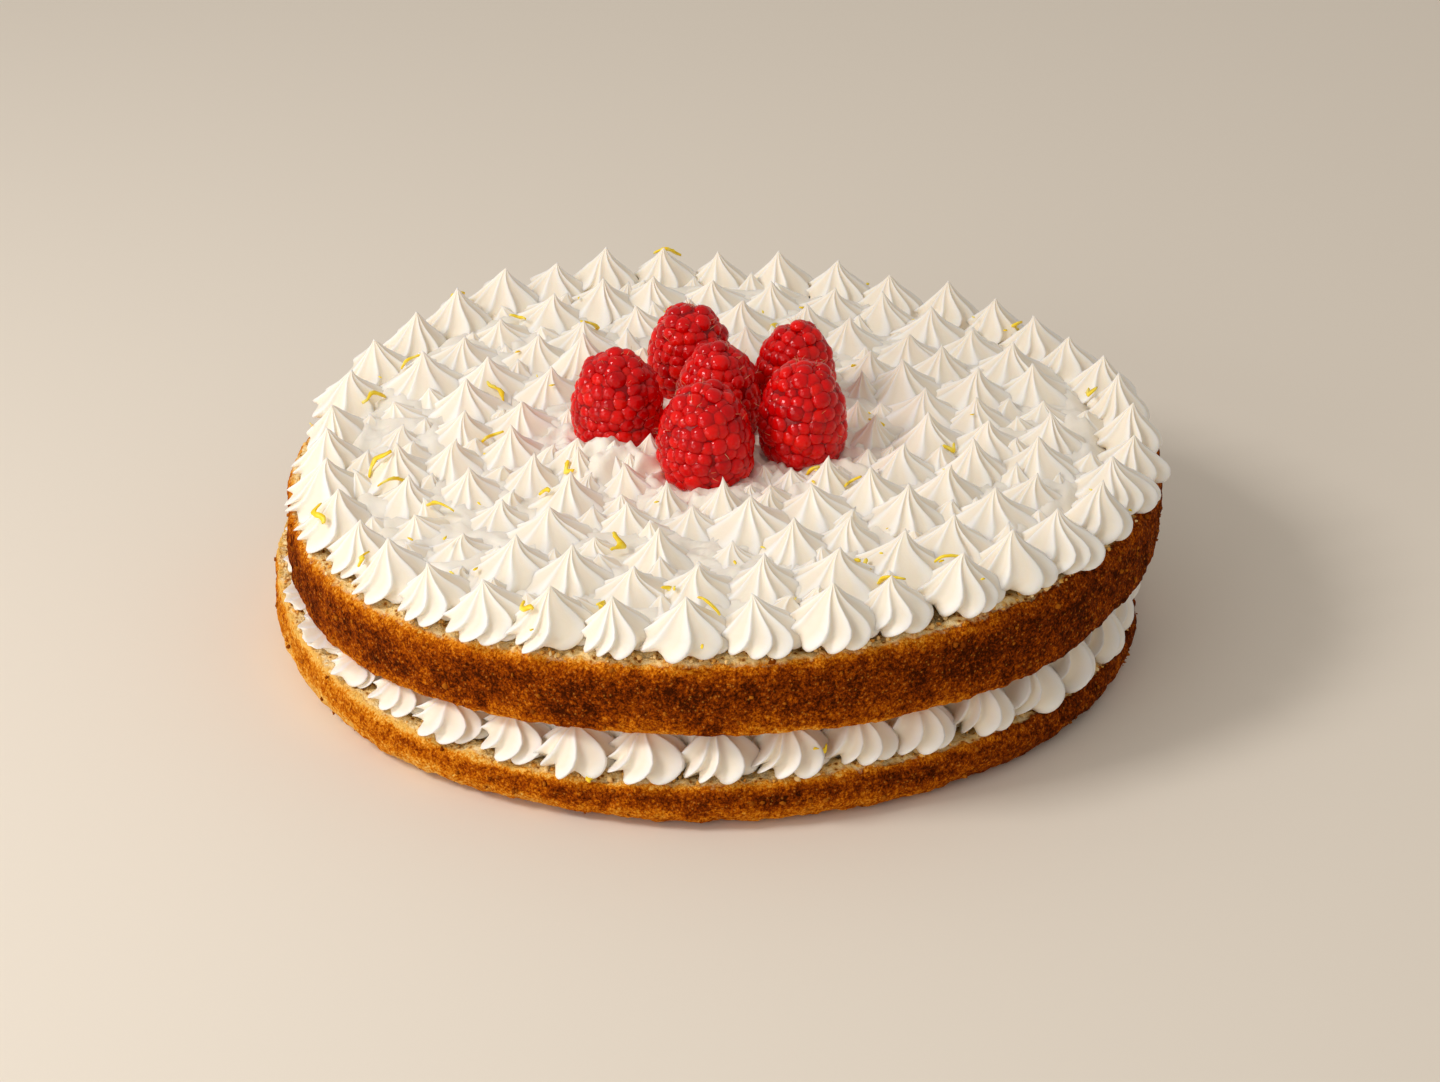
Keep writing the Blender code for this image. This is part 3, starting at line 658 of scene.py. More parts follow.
def whipped_cream():
    """Whipped cream and soft cheese: off-white, dense and satin, letting a little light in. Its
    colour is darker and yellower deep in the grooves, as painted shade.
    """
    material, tree, shader = new_material("whipped_cream", {
        "Roughness": 0.5, "Specular IOR Level": 0.35, "Subsurface Weight": 0.35,
        "Subsurface Radius": (1.0, 0.85, 0.65), "Subsurface Scale": 1.5 * MM})
    where = add_node(tree, "TexCoord").outputs["Object"]
    groove = add_node(tree, "Attribute", {"attribute_name": "groove"}).outputs["Fac"]
    clouds = add_node(tree, "TexNoise", values={"Scale": 1 / (9 * MM), "Detail": 3},
                      links={"Vector": where})
    # Random tone, plus painted shade that darkens and yellows the colour deep in the grooves.
    tone_and_groove_shade = add_node(tree, "Math", {"operation": "MULTIPLY_ADD"}, {1: 0.5},
                      {0: clouds, 2: groove})
    add_node(tree, "ValToRGB", links={"Fac": tone_and_groove_shade}, feeds=shader.inputs["Base Color"], stops=(
        (0.0, "FCFAF4"), (0.5, "FBF6EC"), (1.0, "F7ECD8")))
    froth = add_node(tree, "TexNoise", values={"Scale": 1 / (0.9 * MM), "Detail": 3},
                     links={"Vector": where})
    add_node(tree, "Bump", values={"Strength": 0.25, "Distance": 0.12 * MM},
             links={"Height": froth}, feeds=shader.inputs["Normal"])
    return material


def raspberry_skin():
    """Ripe raspberry skin: thin, moist and see-through to the juicy red flesh under it."""
    material, tree, shader = new_material("raspberry_skin", {
        "Roughness": 0.12, "Specular IOR Level": 0.26, "Subsurface Weight": 0.45,
        "Subsurface Radius": (1.0, 0.1, 0.06), "Subsurface Scale": 2.0 * MM})
    where = add_node(tree, "TexCoord").outputs["Object"]
    ripeness = add_node(tree, "Attribute", {"attribute_name": "ripeness"}).outputs["Fac"]
    flesh = add_node(tree, "TexNoise", values={"Scale": 1 / (2.4 * MM), "Detail": 3},
                     links={"Vector": where})
    mixed = add_node(tree, "Math", {"operation": "MULTIPLY_ADD"}, {1: 0.5},
                     {0: flesh, 2: ripeness})
    # The drupelets' reds vary with ripeness and random tone; the core's value gives the darkest
    # red, as painted shade in the seams.
    add_node(tree, "ValToRGB", links={"Fac": mixed}, feeds=shader.inputs["Base Color"], stops=(
        (0.15, "F21C0A"), (0.5, "E00808"), (0.8, "BE0206"), (1.0, "960004")))
    skin = add_node(tree, "TexNoise", values={"Scale": 1 / (0.9 * MM), "Detail": 3},
                    links={"Vector": where})
    add_node(tree, "Bump", values={"Strength": 0.5, "Distance": 0.14 * MM},
             links={"Height": skin}, feeds=shader.inputs["Normal"])
    return material


def raspberry_hair():
    """The dried styles of the flower: fine pale brown hairs between the drupelets."""
    material, tree, shader = new_material("raspberry_hair", {"Roughness": 0.5})
    where = add_node(tree, "TexCoord").outputs["Object"]
    shade = add_node(tree, "TexNoise", values={"Scale": 1 / (1.5 * MM)}, links={"Vector": where})
    add_node(tree, "ValToRGB", links={"Fac": shade}, feeds=shader.inputs["Base Color"], stops=(
        (0.3, "C98A4E"), (0.7, "E8B486")))
    return material


def lemon_peel():
    """Grated lemon peel: bright oily yellow outside, paler on the side of the pith."""
    material, tree, shader = new_material("lemon_peel", {"Roughness": 0.45})
    where = add_node(tree, "TexCoord").outputs["Object"]
    pith = add_node(tree, "TexNoise", values={"Scale": 1 / (1.6 * MM), "Detail": 3},
                    links={"Vector": where})
    add_node(tree, "ValToRGB", links={"Fac": pith}, feeds=shader.inputs["Base Color"], stops=(
        (0.3, "FFD008"), (0.52, "FFE22C"), (0.72, "FFF084")))
    add_node(tree, "Bump", values={"Strength": 0.4, "Distance": 0.15 * MM},
             links={"Height": pith}, feeds=shader.inputs["Normal"])
    return material


# ---- sponge -------------------------------------------------------------------------
def rim_rows(rim):
    """The rim's outline as a smooth curve of close rows: (inset, share of the height)."""
    rows = []
    for stretch, (start, stop) in enumerate(zip(rim, rim[1:])):
        length = math.hypot(stop[0] - start[0], (stop[1] - start[1]) * MEAN_THICKNESS)
        count = max(1, round(length / RIM_SPACING))
        rows += curve_through(rim, count)[stretch * count:(stretch + 1) * count]
    return [*rows, rim[-1]]


def relief(spot, inset, share):
    """How far the sponge stands out at a spot, on its crust or on its cut top."""
    out = sum(noise.noise(spot / size) * height for size, height in CRUST_RELIEF)
    size, start, growth = EDGE_WAVES
    out += noise.noise(spot / size) * clamped((share - start) * growth)
    if share > CUT_FROM:
        opened = clamped((inset / MM - CUT_EDGE[0]) / CUT_EDGE[1])
        size, reach, depth = HOLES
        out -= opened * max(0.0, reach - noise.voronoi(spot / size)[0][0]) * depth
        size, height = LUMPS
        out += noise.noise(spot / size) * height * opened
    return out * MM


def sponge_layer(name, rim, shift, below, above, material):
    """A spun rim laid between two uneven faces, with its crust in relief."""
    rows = rim_rows(rim)
    rows = ([(inset, rows[0][1]) for inset in reversed(HIDDEN_INSETS)] + rows
            + [(inset, rows[-1][1]) for inset in HIDDEN_INSETS])
    form = spun([(CAKE_RADIUS - inset, share) for inset, share in rows], SPONGE_STEPS)
    level = form.verts.layers.float.new("level")
    depth = form.verts.layers.float.new("inset_mm")
    for vert in form.verts:
        distance = math.hypot(vert.co.x, vert.co.y)
        turn = math.atan2(vert.co.x, -vert.co.y)
        inward = RIM_WAVE * (1 - math.cos(RIM_WAVES * turn)) / 2 * (distance / CAKE_RADIUS) ** 4
        scale = (distance - inward) / distance if distance else 1.0
        x = shift + vert.co.x * scale * OVAL
        y = vert.co.y * scale
        share = vert.co.z
        low = below(x, y)
        vert[level] = share
        vert[depth] = (CAKE_RADIUS - distance) / MM
        vert.co = (x, y, low + share * (above(x, y) - low))
    form.normal_update()
    moves = [vert.normal * relief(vert.co, vert[depth] * MM, vert[level]) for vert in form.verts]
    for vert, move in zip(form.verts, moves):
        if vert[level] > 0.0:
            vert.co += move
            vert.co.z = max(vert.co.z, 0.0)
    return finish_piece(name, form, material, "sponge", name.removesuffix("_baked"))


# ---- piped cream --------------------------------------------------------------------
def star_rings(ridges, to_a_ridge=POINTS_TO_A_RIDGE, steps=OUTLINE_STEPS):
    """The plain column that kisses with this many ridges are made from, then for its points
    the share of the radius, the share of the height, which ridge each is on and how far on to
    the next, and last the number of ridges."""
    outline = curve_through(KISS_OUTLINE, steps)
    column = spun(outline, ridges * to_a_ridge)
    points = points_of(column)
    share = np.hypot(points[:, 0], points[:, 1])
    angle = np.arctan2(points[:, 1], points[:, 0]) % math.tau
    count = np.round(angle / math.tau * ridges * to_a_ridge).astype(int)
    ridge = count // to_a_ridge % ridges
    even = (count % to_a_ridge) / to_a_ridge
    onward = even - CREST_CROWDING * np.sin(math.tau * even) / math.tau
    return column, share, points[:, 2], ridge, onward, ridges


def star_kiss(rings, turn, draw, notches, rounded):
    """One kiss of unit size: its points' x and y, height shares and how deep in a groove.

    Each ridge has a sharp crest, a long flank on one side and a steep one on the other, and
    runs out below into a rounded lobe that curls back. The lobes reach up to the share of
    the height that is rounded.
    """
    _column, share, height, ridge, onward, ridges = rings
    swirl = draw.uniform(*SWIRLS)
    foot = np.clip(1 - height / rounded, 0, 1)
    swing = swirl * (
        np.radians(SWIRL_UP) * np.sin(math.pi * np.clip(height / SWIRL_ENDS[0], 0, 1))
        - np.radians(SWIRL_BACK) * np.clip(1 - height / SWIRL_ENDS[1], 0, 1) ** SWIRL_EASE)

    def from_ridge_to_ridge(limits):
        """A random value for each ridge, run evenly over the points between two of them."""
        values = np.array([draw.uniform(*limits) for _ in range(ridges)])
        return values[ridge] * (1 - onward) + values[(ridge + 1) % ridges] * onward

    out = from_ridge_to_ridge(REACHES) + foot * from_ridge_to_ridge(LOBES)
    ahead = ridge + onward + from_ridge_to_ridge(STRAYS)
    shift, sharpness = (ridge_power + lobe_power * foot
                        for ridge_power, lobe_power in (GROOVE_SHIFT, GROOVE_SHARPNESS))
    groove = np.sin(math.pi * onward ** shift) ** sharpness
    low_notch, high_notch = notches
    deep = high_notch + (low_notch - high_notch) * foot
    radius = share * (1 - deep * groove) * (1 + out)
    angle = turn + swing + ahead * math.tau / ridges
    lifted = height + LOBE_LIFT * groove * foot * (share > 0.5)
    return radius * np.cos(angle), radius * np.sin(angle), lifted, groove


def topping_kiss(rings, kiss, draw):
    """Points of a kiss on top of the cake, and how deep each lies in a groove."""
    x, y, radius, height, turn, lean_x, lean_y, (wider, _brushed, rounded) = kiss
    across, along, level, groove = star_kiss(rings, turn, draw, TOPPING_NOTCH, rounded)
    radius = radius * (1 + (wider - 1) * np.clip(1 - level / SOFT_UP_TO, 0, 1))
    hooked = np.clip((level - HOOK_FROM) / (1 - HOOK_FROM), 0, 1)
    hook = draw.uniform(0, TIP_HOOK) * hooked ** 2
    hook_angle = draw.uniform(0, math.tau)
    spot_x = x + radius * across + lean_x * level ** 2 + hook * math.cos(hook_angle)
    spot_y = y + radius * along + lean_y * level ** 2 + hook * math.sin(hook_angle)
    foot = upper_top(spot_x, spot_y) + GAP
    return np.column_stack((spot_x, spot_y, foot + level * height)), groove


def squashed_kiss(rings, kiss, draw):
    """Points of a kiss between the layers, pressed down by the upper one."""
    x, y, radius, turn = kiss
    gap = max(LEAST_SQUEEZED, upper_bottom(x, y) - lower_top(x, y) - 2 * GAP)
    notches = [notch * min(1.0, gap / FILLING_FULL_GAP + NOTCH_LEFT) for notch in FILLING_NOTCH]
    across, along, level, groove = star_kiss(rings, turn, draw, notches, FILLING_ROUNDED)
    natural = level * max(radius * FILLING_STEEPNESS, gap * FILLING_PRESSED)
    free = FILLING_FREE * gap
    pressed = free + (gap - free) * (1 - np.exp(-(natural - free) / (gap - free)))
    height = np.where(natural < free, natural, pressed)
    bulge, most = FILLING_BULGE
    wider = SOFT_FILLING * (1.0 + np.minimum(most, bulge * (natural - height) / gap))
    outwards = FILLING_SLIDE / FILLING_RING[0]
    spot_x = x + radius * across * wider + (x - FILLING_CENTRE[0]) * outwards
    spot_y = y + radius * along * wider + (y - FILLING_CENTRE[1]) * outwards
    return np.column_stack((spot_x, spot_y, lower_top(spot_x, spot_y) + GAP + height)), groove


def piped(name, rings, kisses, shape, material, node, seed):
    """All the kisses of one kind as a single piece."""
    draw = random.Random(seed)
    made = [shape(rings, kiss, draw) for kiss in kisses]
    mesh = repeated(rings[0], [points for points, _groove in made],
                    groove=[groove for _points, groove in made])
    return finish_piece(name, mesh, material, "cream", node)


def fold(spot, size, standing, height):
    """Height of folds of cream with sharp crests, at a spot."""
    return (standing - abs(noise.noise(spot / size))) * height * MM


def cream_bed(material):
    """The bed under the kisses: thin at the rim, drawn up in folds against the berries."""
    outline = [(BED_RADIUS * share, 0.0) for share in (0.0, 0.25, 0.5, 0.75, 1.0)]
    outline += [(BED_RADIUS + 0.5 * MM, 0.5)]
    outline += [(BED_RADIUS * (1 - row / BED_ROWS), 1.0) for row in range(BED_ROWS + 1)]
    form = spun(outline, BED_STEPS)
    groove = form.verts.layers.float.new("groove")
    for vert in form.verts:
        x, y = TOPPING_CENTRE[0] + vert.co.x, TOPPING_CENTRE[1] + vert.co.y
        distance = math.hypot(vert.co.x, vert.co.y)
        inside = clamped((BED_RADIUS - distance) / BED_SLOPE)
        off = abs(room_between_berries(x, y) - BERRY_SLOPE[0])
        close = max(0.0, 1 - off / BERRY_SLOPE[1])
        spot = Vector((x, y, 0.0))
        folds = fold(spot, *BERRY_FOLDS)
        size, height = BED_WAVES
        swirl = noise.noise(spot / size) * height * MM + fold(spot, *BED_FOLDS)
        at_rim, further_in, at_berries = BED_RISES
        thickness = (at_rim + further_in * inside + at_berries * close) * MM + folds * close
        for heap_x, heap_y, width, rise in HEAPS:
            near = math.exp(-((x - heap_x) ** 2 + (y - heap_y) ** 2) / width ** 2)
            thickness += (rise + HEAP_FOLDS * folds) * near
        low = upper_top(x, y) + GAP
        # Painted shade for the bed seen between the kisses.
        vert[groove] = BED_SHADE
        swirl *= EDGE_SWIRL + (1 - EDGE_SWIRL) * inside
        vert.co = (x, y, low + vert.co.z * (thickness + swirl))
    return finish_piece("cream_bed", form, material, "cream", "cream_topping")


def filling_disc(material):
    """The cream inside the ring of squashed kisses, with a rippled edge."""
    outline = ((0.0, 0.0), (0.6, 0.0), (0.97, 0.0), (1.0, 0.3), (1.0, 0.7), (0.98, 1.0),
               (0.6, 1.0), (0.0, 1.0))
    form = spun([(FILLING_DISC * share, level) for share, level in outline],
                FILLING_RING[1] * DISC_STEPS)
    groove = form.verts.layers.float.new("groove")
    for vert in form.verts:
        distance = math.hypot(vert.co.x, vert.co.y)
        turn = math.atan2(vert.co.y, vert.co.x)
        ripple = abs(math.sin(turn * FILLING_RING[1] * (DISC_RIPPLES / 2))) * DISC_RIPPLE
        scale = (distance - ripple) / distance if distance > FILLING_DISC / 2 else 1.0
        x = FILLING_CENTRE[0] + vert.co.x * scale
        y = FILLING_CENTRE[1] + vert.co.y * scale
        low, high = lower_top(x, y) + GAP, upper_bottom(x, y) - GAP
        # Painted shade for the cream between the layers.
        vert[groove] = DISC_SHADE
        vert.co = (x, y, low + vert.co.z * (high - low))
    return finish_piece("filling_disc", form, material, "cream", "cream_filling")


# ---- raspberries --------------------------------------------------------------------
def berry_rows(width, height):
    """Rows of drupelets up a berry: (radius, height, slope outwards, how many, first angle)."""
    inset = DRUPELET_RADIUS * DRUPELET_FLATNESS
    outline = [(share * width, level * height)
               for share, level in curve_through(BERRY_OUTLINE[2:], 12)]
    walked = DRUPELET_PITCH * (ROW_SPACING - FIRST_ROW)
    rows = []
    for (radius, level), (next_radius, next_level) in zip(outline, outline[1:]):
        walked += math.hypot(next_radius - radius, next_level - level)
        if walked < DRUPELET_PITCH * ROW_SPACING:
            continue
        walked = 0.0
        slope = math.atan2(radius - next_radius, next_level - level)
        count = max(1, round(math.tau * radius / DRUPELET_PITCH))
        rows.append((radius - inset * math.cos(slope), level - inset * math.sin(slope), slope,
                     count, len(rows) % 2 * 0.5))
    if rows[-1][0] > DRUPELET_PITCH / 3:
        rows.append((0.0, height - inset, math.pi / 2, 1, 0.0))
    return rows


def stand_berry(name):
    """The matrix that leans a berry and lifts it from the origin to where it stands."""
    x, y, width, _height, lean = RASPBERRIES[name]
    lift = width * math.sin(math.radians(abs(lean))) * BERRY_STANCE
    return (Matrix.Translation((x, y, berry_foot(x, y, width) + lift))
            @ Matrix.Rotation(math.radians(lean), 4, "Y"))


def raspberry(name, skin):
    """A core with staggered rows of drupelets, each a flattened ball of its own size."""
    _x, _y, width, height, _lean = RASPBERRIES[name]
    draw = random.Random(name)
    unit = bmesh.new()
    bmesh.ops.create_icosphere(unit, subdivisions=2, radius=1.0)
    ball = points_of(unit)
    places, ripeness = [], []
    for radius, level, slope, count, first in berry_rows(width, height):
        for number in range(count):
            stray = draw.uniform(-DRUPELET_STRAY, DRUPELET_STRAY)
            angle = (number + first + stray) * math.tau / count
            size = DRUPELET_RADIUS * draw.uniform(*DRUPELET_SIZES)
            back, aside = (draw.uniform(-DRUPELET_TILT, DRUPELET_TILT) for _ in range(2))
            turn = (Matrix.Rotation(angle, 4, "Z") @ Matrix.Rotation(back - slope, 4, "Y")
                    @ Matrix.Rotation(aside, 4, "Z") @ Matrix.Diagonal(
                        (DRUPELET_FLATNESS, 1.0, draw.uniform(*DRUPELET_WIDTHS), 1.0)))
            spin = Matrix.Rotation(draw.uniform(0, math.tau), 4, "X")
            rise = draw.uniform(-DRUPELET_RISE, DRUPELET_RISE)
            middle = np.array((radius * math.cos(angle), radius * math.sin(angle), level + rise))
            shape = np.array((turn @ spin).to_3x3())
            places.append(ball @ shape.T * size + middle)
            ripeness.append(np.full(len(ball), draw.uniform(*DRUPELET_RIPENESS)))
    narrower, foot, shorter = BERRY_CORE
    core_outline = curve_through([(share * (width - narrower), foot + level * (height - shorter))
                                  for share, level in BERRY_OUTLINE], 2)
    mesh = repeated(unit, places, ripeness=ripeness)
    form = spun(core_outline, CORE_STEPS)
    # Painted shade: the core shows only in the seams between the drupelets and takes the darkest
    # red.
    ripe = form.verts.layers.float.new("ripeness")
    for vert in form.verts:
        vert[ripe] = 1.0
    form.from_mesh(mesh)
    form.transform(stand_berry(name))
    bpy.data.meshes.remove(mesh)
    return finish_piece(name + "_ripe", form, skin, "raspberry", name)


def raspberry_hairs(material):
    """The fine curled hairs that stand out from between the drupelets of every berry."""
    unit = bmesh.new()
    bmesh.ops.create_cone(unit, cap_ends=True, segments=3, radius1=1.0, radius2=0.4, depth=1.0)
    for cut in (-0.2, 0.0, 0.2):
        cut_across(unit, (0, 0, cut), (0, 0, 1))
    hair = points_of(unit) + (0, 0, 0.5)
    draw = random.Random("hairs")
    places = []
    for name, (_x, _y, width, height, _lean) in RASPBERRIES.items():
        outline = curve_through(BERRY_OUTLINE[3:], 8)
        stand = stand_berry(name)
        for _ in range(HAIRS):
            share, level = draw.choice(outline)
            angle = draw.uniform(0, math.tau)
            steep = level * math.pi / 3
            out = Vector((math.cos(angle) * math.cos(steep), math.sin(angle) * math.cos(steep),
                          math.sin(steep)))
            root = Vector((share * width * math.cos(angle), share * width * math.sin(angle),
                           level * height)) - out * HAIR_ROOT
            aim = out + Vector([draw.uniform(-HAIR_TILT, HAIR_TILT) for _ in range(3)])
            length = draw.uniform(*HAIR_LENGTH)
            local = hair * (HAIR_WIDTH / 2, HAIR_WIDTH / 2, length)
            local[:, 0] += draw.uniform(-HAIR_CURL, HAIR_CURL) * length * hair[:, 2] ** 2
            matrix = np.array(stand @ Matrix.Translation(root)
                              @ aim.to_track_quat("Z", "Y").to_matrix().to_4x4())
            places.append(local @ matrix[:3, :3].T + matrix[:3, 3])
    return finish_piece("raspberry_hairs", repeated(unit, places), material, "raspberry")


# ---- lemon zest ---------------------------------------------------------------------
def side_of_kiss(kiss, level, side):
    """A spot on a soft kiss's side, at a share of its height and an angle round it."""
    x, y, radius, height = kiss[:4]
    shares, levels = zip(*KISS_OUTLINE[4:])
    reach = radius * SOFT_INSIDE[0] * ZEST_SINK * float(np.interp(level, levels, shares))
    spot_x = x + reach * math.cos(side)
    spot_y = y + reach * math.sin(side)
    return Vector((spot_x, spot_y, upper_top(spot_x, spot_y) + GAP + level * height))


def kisses_with_zest(kisses, draw):
    """The kisses that carry a strand, more of them left of the middle than right of it."""
    left = [kiss for kiss in kisses if kiss[0] < 0]
    right = [kiss for kiss in kisses if kiss[0] >= 0]
    return draw.sample(left, ZEST_STRANDS[0]) + draw.sample(right, ZEST_STRANDS[1])


def strip_of_peel(length, width, raggedness):
    """A bent strip of peel, lying flat at the origin; its ragged edges differ with a number."""
    form = bmesh.new()
    bmesh.ops.create_cube(form, size=1.0)
    for cut in range(-4, 5):
        cut_across(form, (cut / 10, 0, 0), (1, 0, 0))
    cut_across(form, (0, 0, 0), (0, 1, 0))
    for vert in form.verts:
        share = vert.co.x
        rise = ZEST_BEND * length * (0.25 - share ** 2) * 4
        narrow = 1 - ZEST_NARROWING * (2 * share) ** 2
        amount, size = ZEST_RAGGED
        ragged = 1 + amount * noise.noise(Vector((share * length / size, 9 * vert.co.y,
                                                  raggedness)))
        sway = ZEST_SWAY * width * math.sin(math.tau * share + length / MM)
        vert.co = (share * length, vert.co.y * width * narrow * ragged + sway,
                   vert.co.z * ZEST_THICKNESS * (0.5 + 0.5 * narrow) + rise)
    return form


def zest_strand(kiss, draw):
    """A strip of peel lying across the side of a kiss."""
    _x, _y, radius, height, _turn, _lean_x, _lean_y = kiss
    form = strip_of_peel(draw.uniform(*ZEST_LENGTH), draw.uniform(*ZEST_WIDTH), radius / MM * 7)
    level = draw.uniform(*ZEST_LEVEL) + ZEST_LIFT
    side = draw.uniform(0, math.tau)
    slope = math.atan2(height, radius * SOFT_INSIDE[0])
    form.transform(Matrix.Translation(side_of_kiss(kiss, level, side))
                   @ Matrix.Rotation(side, 4, "Z")
                   @ Matrix.Rotation(slope, 4, "Y")
                   @ Matrix.Rotation(draw.uniform(0, math.pi), 4, "Z"))
    return form


def fallen_strip(spot, length, turn, steep):
    """A strip of peel on the filling, turned on the plan and this steep, in degrees."""
    form = strip_of_peel(length, ZEST_WIDTH[0], length / MM)
    form.transform(Matrix.Translation(spot)
                   @ Matrix.Rotation(math.radians(turn), 4, "Z")
                   @ Matrix.Rotation(math.radians(steep), 4, "X")
                   @ Matrix.Rotation(math.radians(turn), 4, "Z"))
    return form


def zest_speck(kiss, draw):
    """A crumb of peel on the side of a kiss."""
    form = bmesh.new()
    bmesh.ops.create_icosphere(form, subdivisions=1, radius=1.0)
    size = draw.uniform(*ZEST_SPECK_SIZE)
    for vert in form.verts:
        vert.co *= draw.uniform(*SPECK_UNEVEN)
    spot = side_of_kiss(kiss, draw.uniform(*SPECK_LEVEL), draw.uniform(0, math.tau))
    form.transform(Matrix.Translation(spot)
                   @ Matrix.Rotation(draw.uniform(0, math.pi), 4, "Z")
                   @ Matrix.Rotation(draw.uniform(0, math.pi), 4, "X")
                   @ Matrix.Diagonal((*(size * share for share in SPECK_SHAPE), 1.0)))
    return form


def lemon_zest(kisses, material):
    """The strands and specks of peel on top, and the strips that fell on the filling."""
    draw = random.Random(ZEST_SEED)
    forms = [zest_strand(kiss, draw) for kiss in kisses_with_zest(kisses, draw)]
    forms += [zest_speck(draw.choice(kisses), draw) for _ in range(ZEST_SPECKS)]
    peel_piece("lemon_zest", forms, material, "cream_topping")
    peel_piece("zest_in_filling", [fallen_strip(*strip) for strip in FALLEN_ZEST], material)


def peel_piece(name, forms, material, *nodes):
    """Join strips and specks of peel into one piece."""
    joined = bmesh.new()
    strip = bpy.data.meshes.new("strip")
    for form in forms:
        form.to_mesh(strip)
        form.free()
        joined.from_mesh(strip)
    bpy.data.meshes.remove(strip)
    bmesh.ops.recalc_face_normals(joined, faces=joined.faces)
    return finish_piece(name, joined, material, "zest", *nodes)


# ---- crumbs -------------------------------------------------------------------------
def rim_spot(rim, shift, faces, angle, share, inset=None):
    """A spot on a layer's rim: at a share of its height, or on top this far in from the edge."""
    below, above = faces
    if inset is None:
        insets, shares = zip(*rim[:-1])
        inset = float(np.interp(share, shares, insets))
    x, y = place((0.0, 0.0), CAKE_RADIUS - inset, angle)
    x = shift + x * OVAL
    low = below(x, y)
    return x, y, low + share * (above(x, y) - low)


def sponge_crumbs(material):
    """Crumbs of the sponge: loose on the ledge, along the cut edge and standing out from the
    crust."""
    draw = random.Random(CRUMB_SEED)
    lower = (LOWER_RIM, -LAYER_SHIFT, (ground, lower_top))
    upper = (UPPER_RIM, LAYER_SHIFT, (upper_bottom, upper_top))
    spots = []
    for layer, (count, insets) in ((lower, LEDGE_CRUMBS), (upper, EDGE_CRUMBS)):
        for _ in range(count):
            spots.append((rim_spot(*layer, draw.uniform(0, 360), 1.0, draw.uniform(*insets)),
                          draw.uniform(*PALE_CRUMBS)))
    count, shares = CRUST_CRUMBS
    for _ in range(count):
        layer = draw.choice((lower, upper))
        spots.append((rim_spot(*layer, draw.uniform(0, 360), draw.uniform(*shares)),
                      draw.uniform(*BROWN_CRUMBS)))
    unit = bmesh.new()
    bmesh.ops.create_icosphere(unit, subdivisions=1, radius=1.0)
    ball = points_of(unit)
    places, toast = [], []
    for (x, y, z), brown in spots:
        size = draw.uniform(*CRUMB_SIZE)
        uneven = np.array([[draw.uniform(*CRUMB_UNEVEN)] for _ in ball])
        flat = np.array([draw.uniform(*CRUMB_UNEVEN) for _ in range(3)])
        largest = CRUMB_UNEVEN[1]
        places.append(ball * uneven * flat * size / largest + (x, y, max(z, largest * size)))
        toast.append(np.full(len(ball), brown))
    return finish_piece("sponge_crumbs", repeated(unit, places, toast=toast), material, "sponge")


# ---- the picture --------------------------------------------------------------------
def add_camera():
    """The camera at the photograph's viewing angle."""
    yaw, pitch, roll = (math.radians(value) for value in CAMERA_TURN)
    forward = Vector((math.sin(yaw) * math.cos(pitch), math.cos(yaw) * math.cos(pitch),
                      -math.sin(pitch)))
    right = Vector((math.cos(yaw), -math.sin(yaw), 0.0))
    up = right.cross(forward)
    right, up = (right * math.cos(roll) + up * math.sin(roll),
                 up * math.cos(roll) - right * math.sin(roll))
    camera = new_object("camera", bpy.data.cameras.new("camera"))
    camera.data.sensor_width = CAMERA_SENSOR
    camera.data.lens = CAMERA_LENS
    camera.matrix_world = Matrix.Translation(CAMERA_PLACE) @ Matrix(
        (right, up, -forward)).transposed().to_4x4()
    bpy.context.scene.camera = camera


def add_light(name, spot, size, power, colour):
    """A soft square light that faces the middle of the cake."""
    light = bpy.data.lights.new(name, "AREA")
    light.size = size
    light.energy = power
    light.color = colour
    aim = Vector(spot) - Vector((0, 0, CAKE_MIDDLE))
    new_object(name, light).matrix_world = (
        Matrix.Translation(spot) @ aim.to_track_quat("Z", "Y").to_matrix().to_4x4())


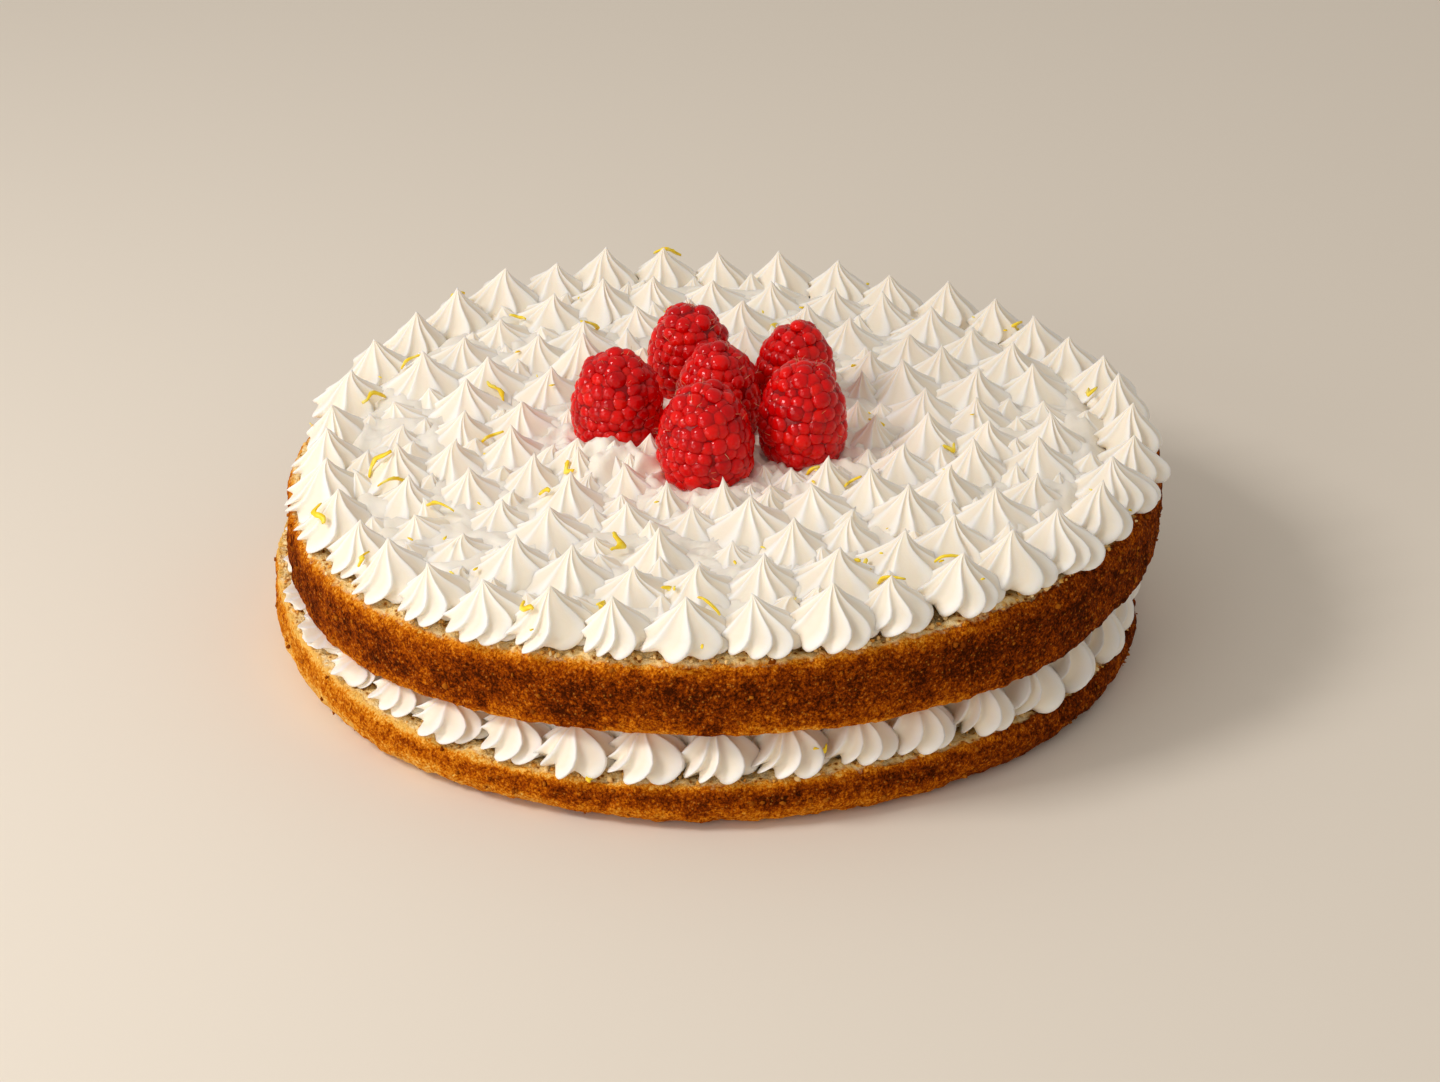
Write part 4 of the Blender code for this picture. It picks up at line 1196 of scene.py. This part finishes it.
def add_studio():
    """A plain pale floor, light from all round and two soft lights."""
    form = bmesh.new()
    bmesh.ops.create_grid(form, x_segments=1, y_segments=1, size=FLOOR_SIZE)
    floor = new_object("floor", mesh_of(form, "floor"))
    paper, _tree, _shader = new_material("studio_paper", {"Base Color": linear("EFE6D6"),
                                                          "Roughness": 0.9})
    floor.data.materials.append(paper)
    world = bpy.data.worlds.new("studio")
    world.use_nodes = True
    background = world.node_tree.nodes["Background"]
    background.inputs["Color"].default_value = linear("FFF8F2")
    background.inputs["Strength"].default_value = SURROUND
    bpy.context.scene.world = world
    for name, light in LIGHTS.items():
        add_light(name, *light)
    bpy.context.scene.view_settings.view_transform = "Standard"


def main():
    """The whole cake, and the picture of it."""
    sponge_layer("sponge_lower_baked", LOWER_RIM, -LAYER_SHIFT, ground, lower_top,
                 baked_sponge("lower_sponge_crust", LOWER_BROWNING, LOWER_LEFT_PALING_AND_LIGHT))
    sponge_layer("sponge_upper_baked", UPPER_RIM, LAYER_SHIFT, upper_bottom, upper_top,
                 baked_sponge("upper_sponge_crust", UPPER_BROWNING, UPPER_LEFT_PALING_AND_LIGHT))
    sponge_crumbs(loose_crumb())
    cream = whipped_cream()
    cream_bed(cream)
    full = star_rings(KISS_RIDGES)
    by_ring = topping_kisses()
    every = [kiss for ring in by_ring for kiss in ring]
    draw = random.Random(TOPPING_SEED)
    soft = {"kisses_rim": softened(by_ring[0], SOFT_RIM, draw),
            "kisses_outer": softened(by_ring[1] + by_ring[2], SOFT_INSIDE, draw),
            "kisses_inner": softened(by_ring[3] + by_ring[4], SOFT_INSIDE, draw)
            + small_kisses(every)}
    for seed, (name, kisses) in enumerate(soft.items(), start=1):
        piped(name, full, kisses, topping_kiss, cream, "cream_topping", seed)
    piped("dabs_between", star_rings(DAB_RIDGES, DAB_POINTS, 1), dabs_between(every),
          topping_kiss, cream, "cream_topping", 5)
    filling_disc(cream)
    piped("kisses_filling", full, filling_kisses(), squashed_kiss, cream, "cream_filling", 4)
    lemon_zest(every, lemon_peel())
    skin = raspberry_skin()
    for name in RASPBERRIES:
        raspberry(name, skin)
    raspberry_hairs(raspberry_hair())
    add_camera()
    add_studio()


main()
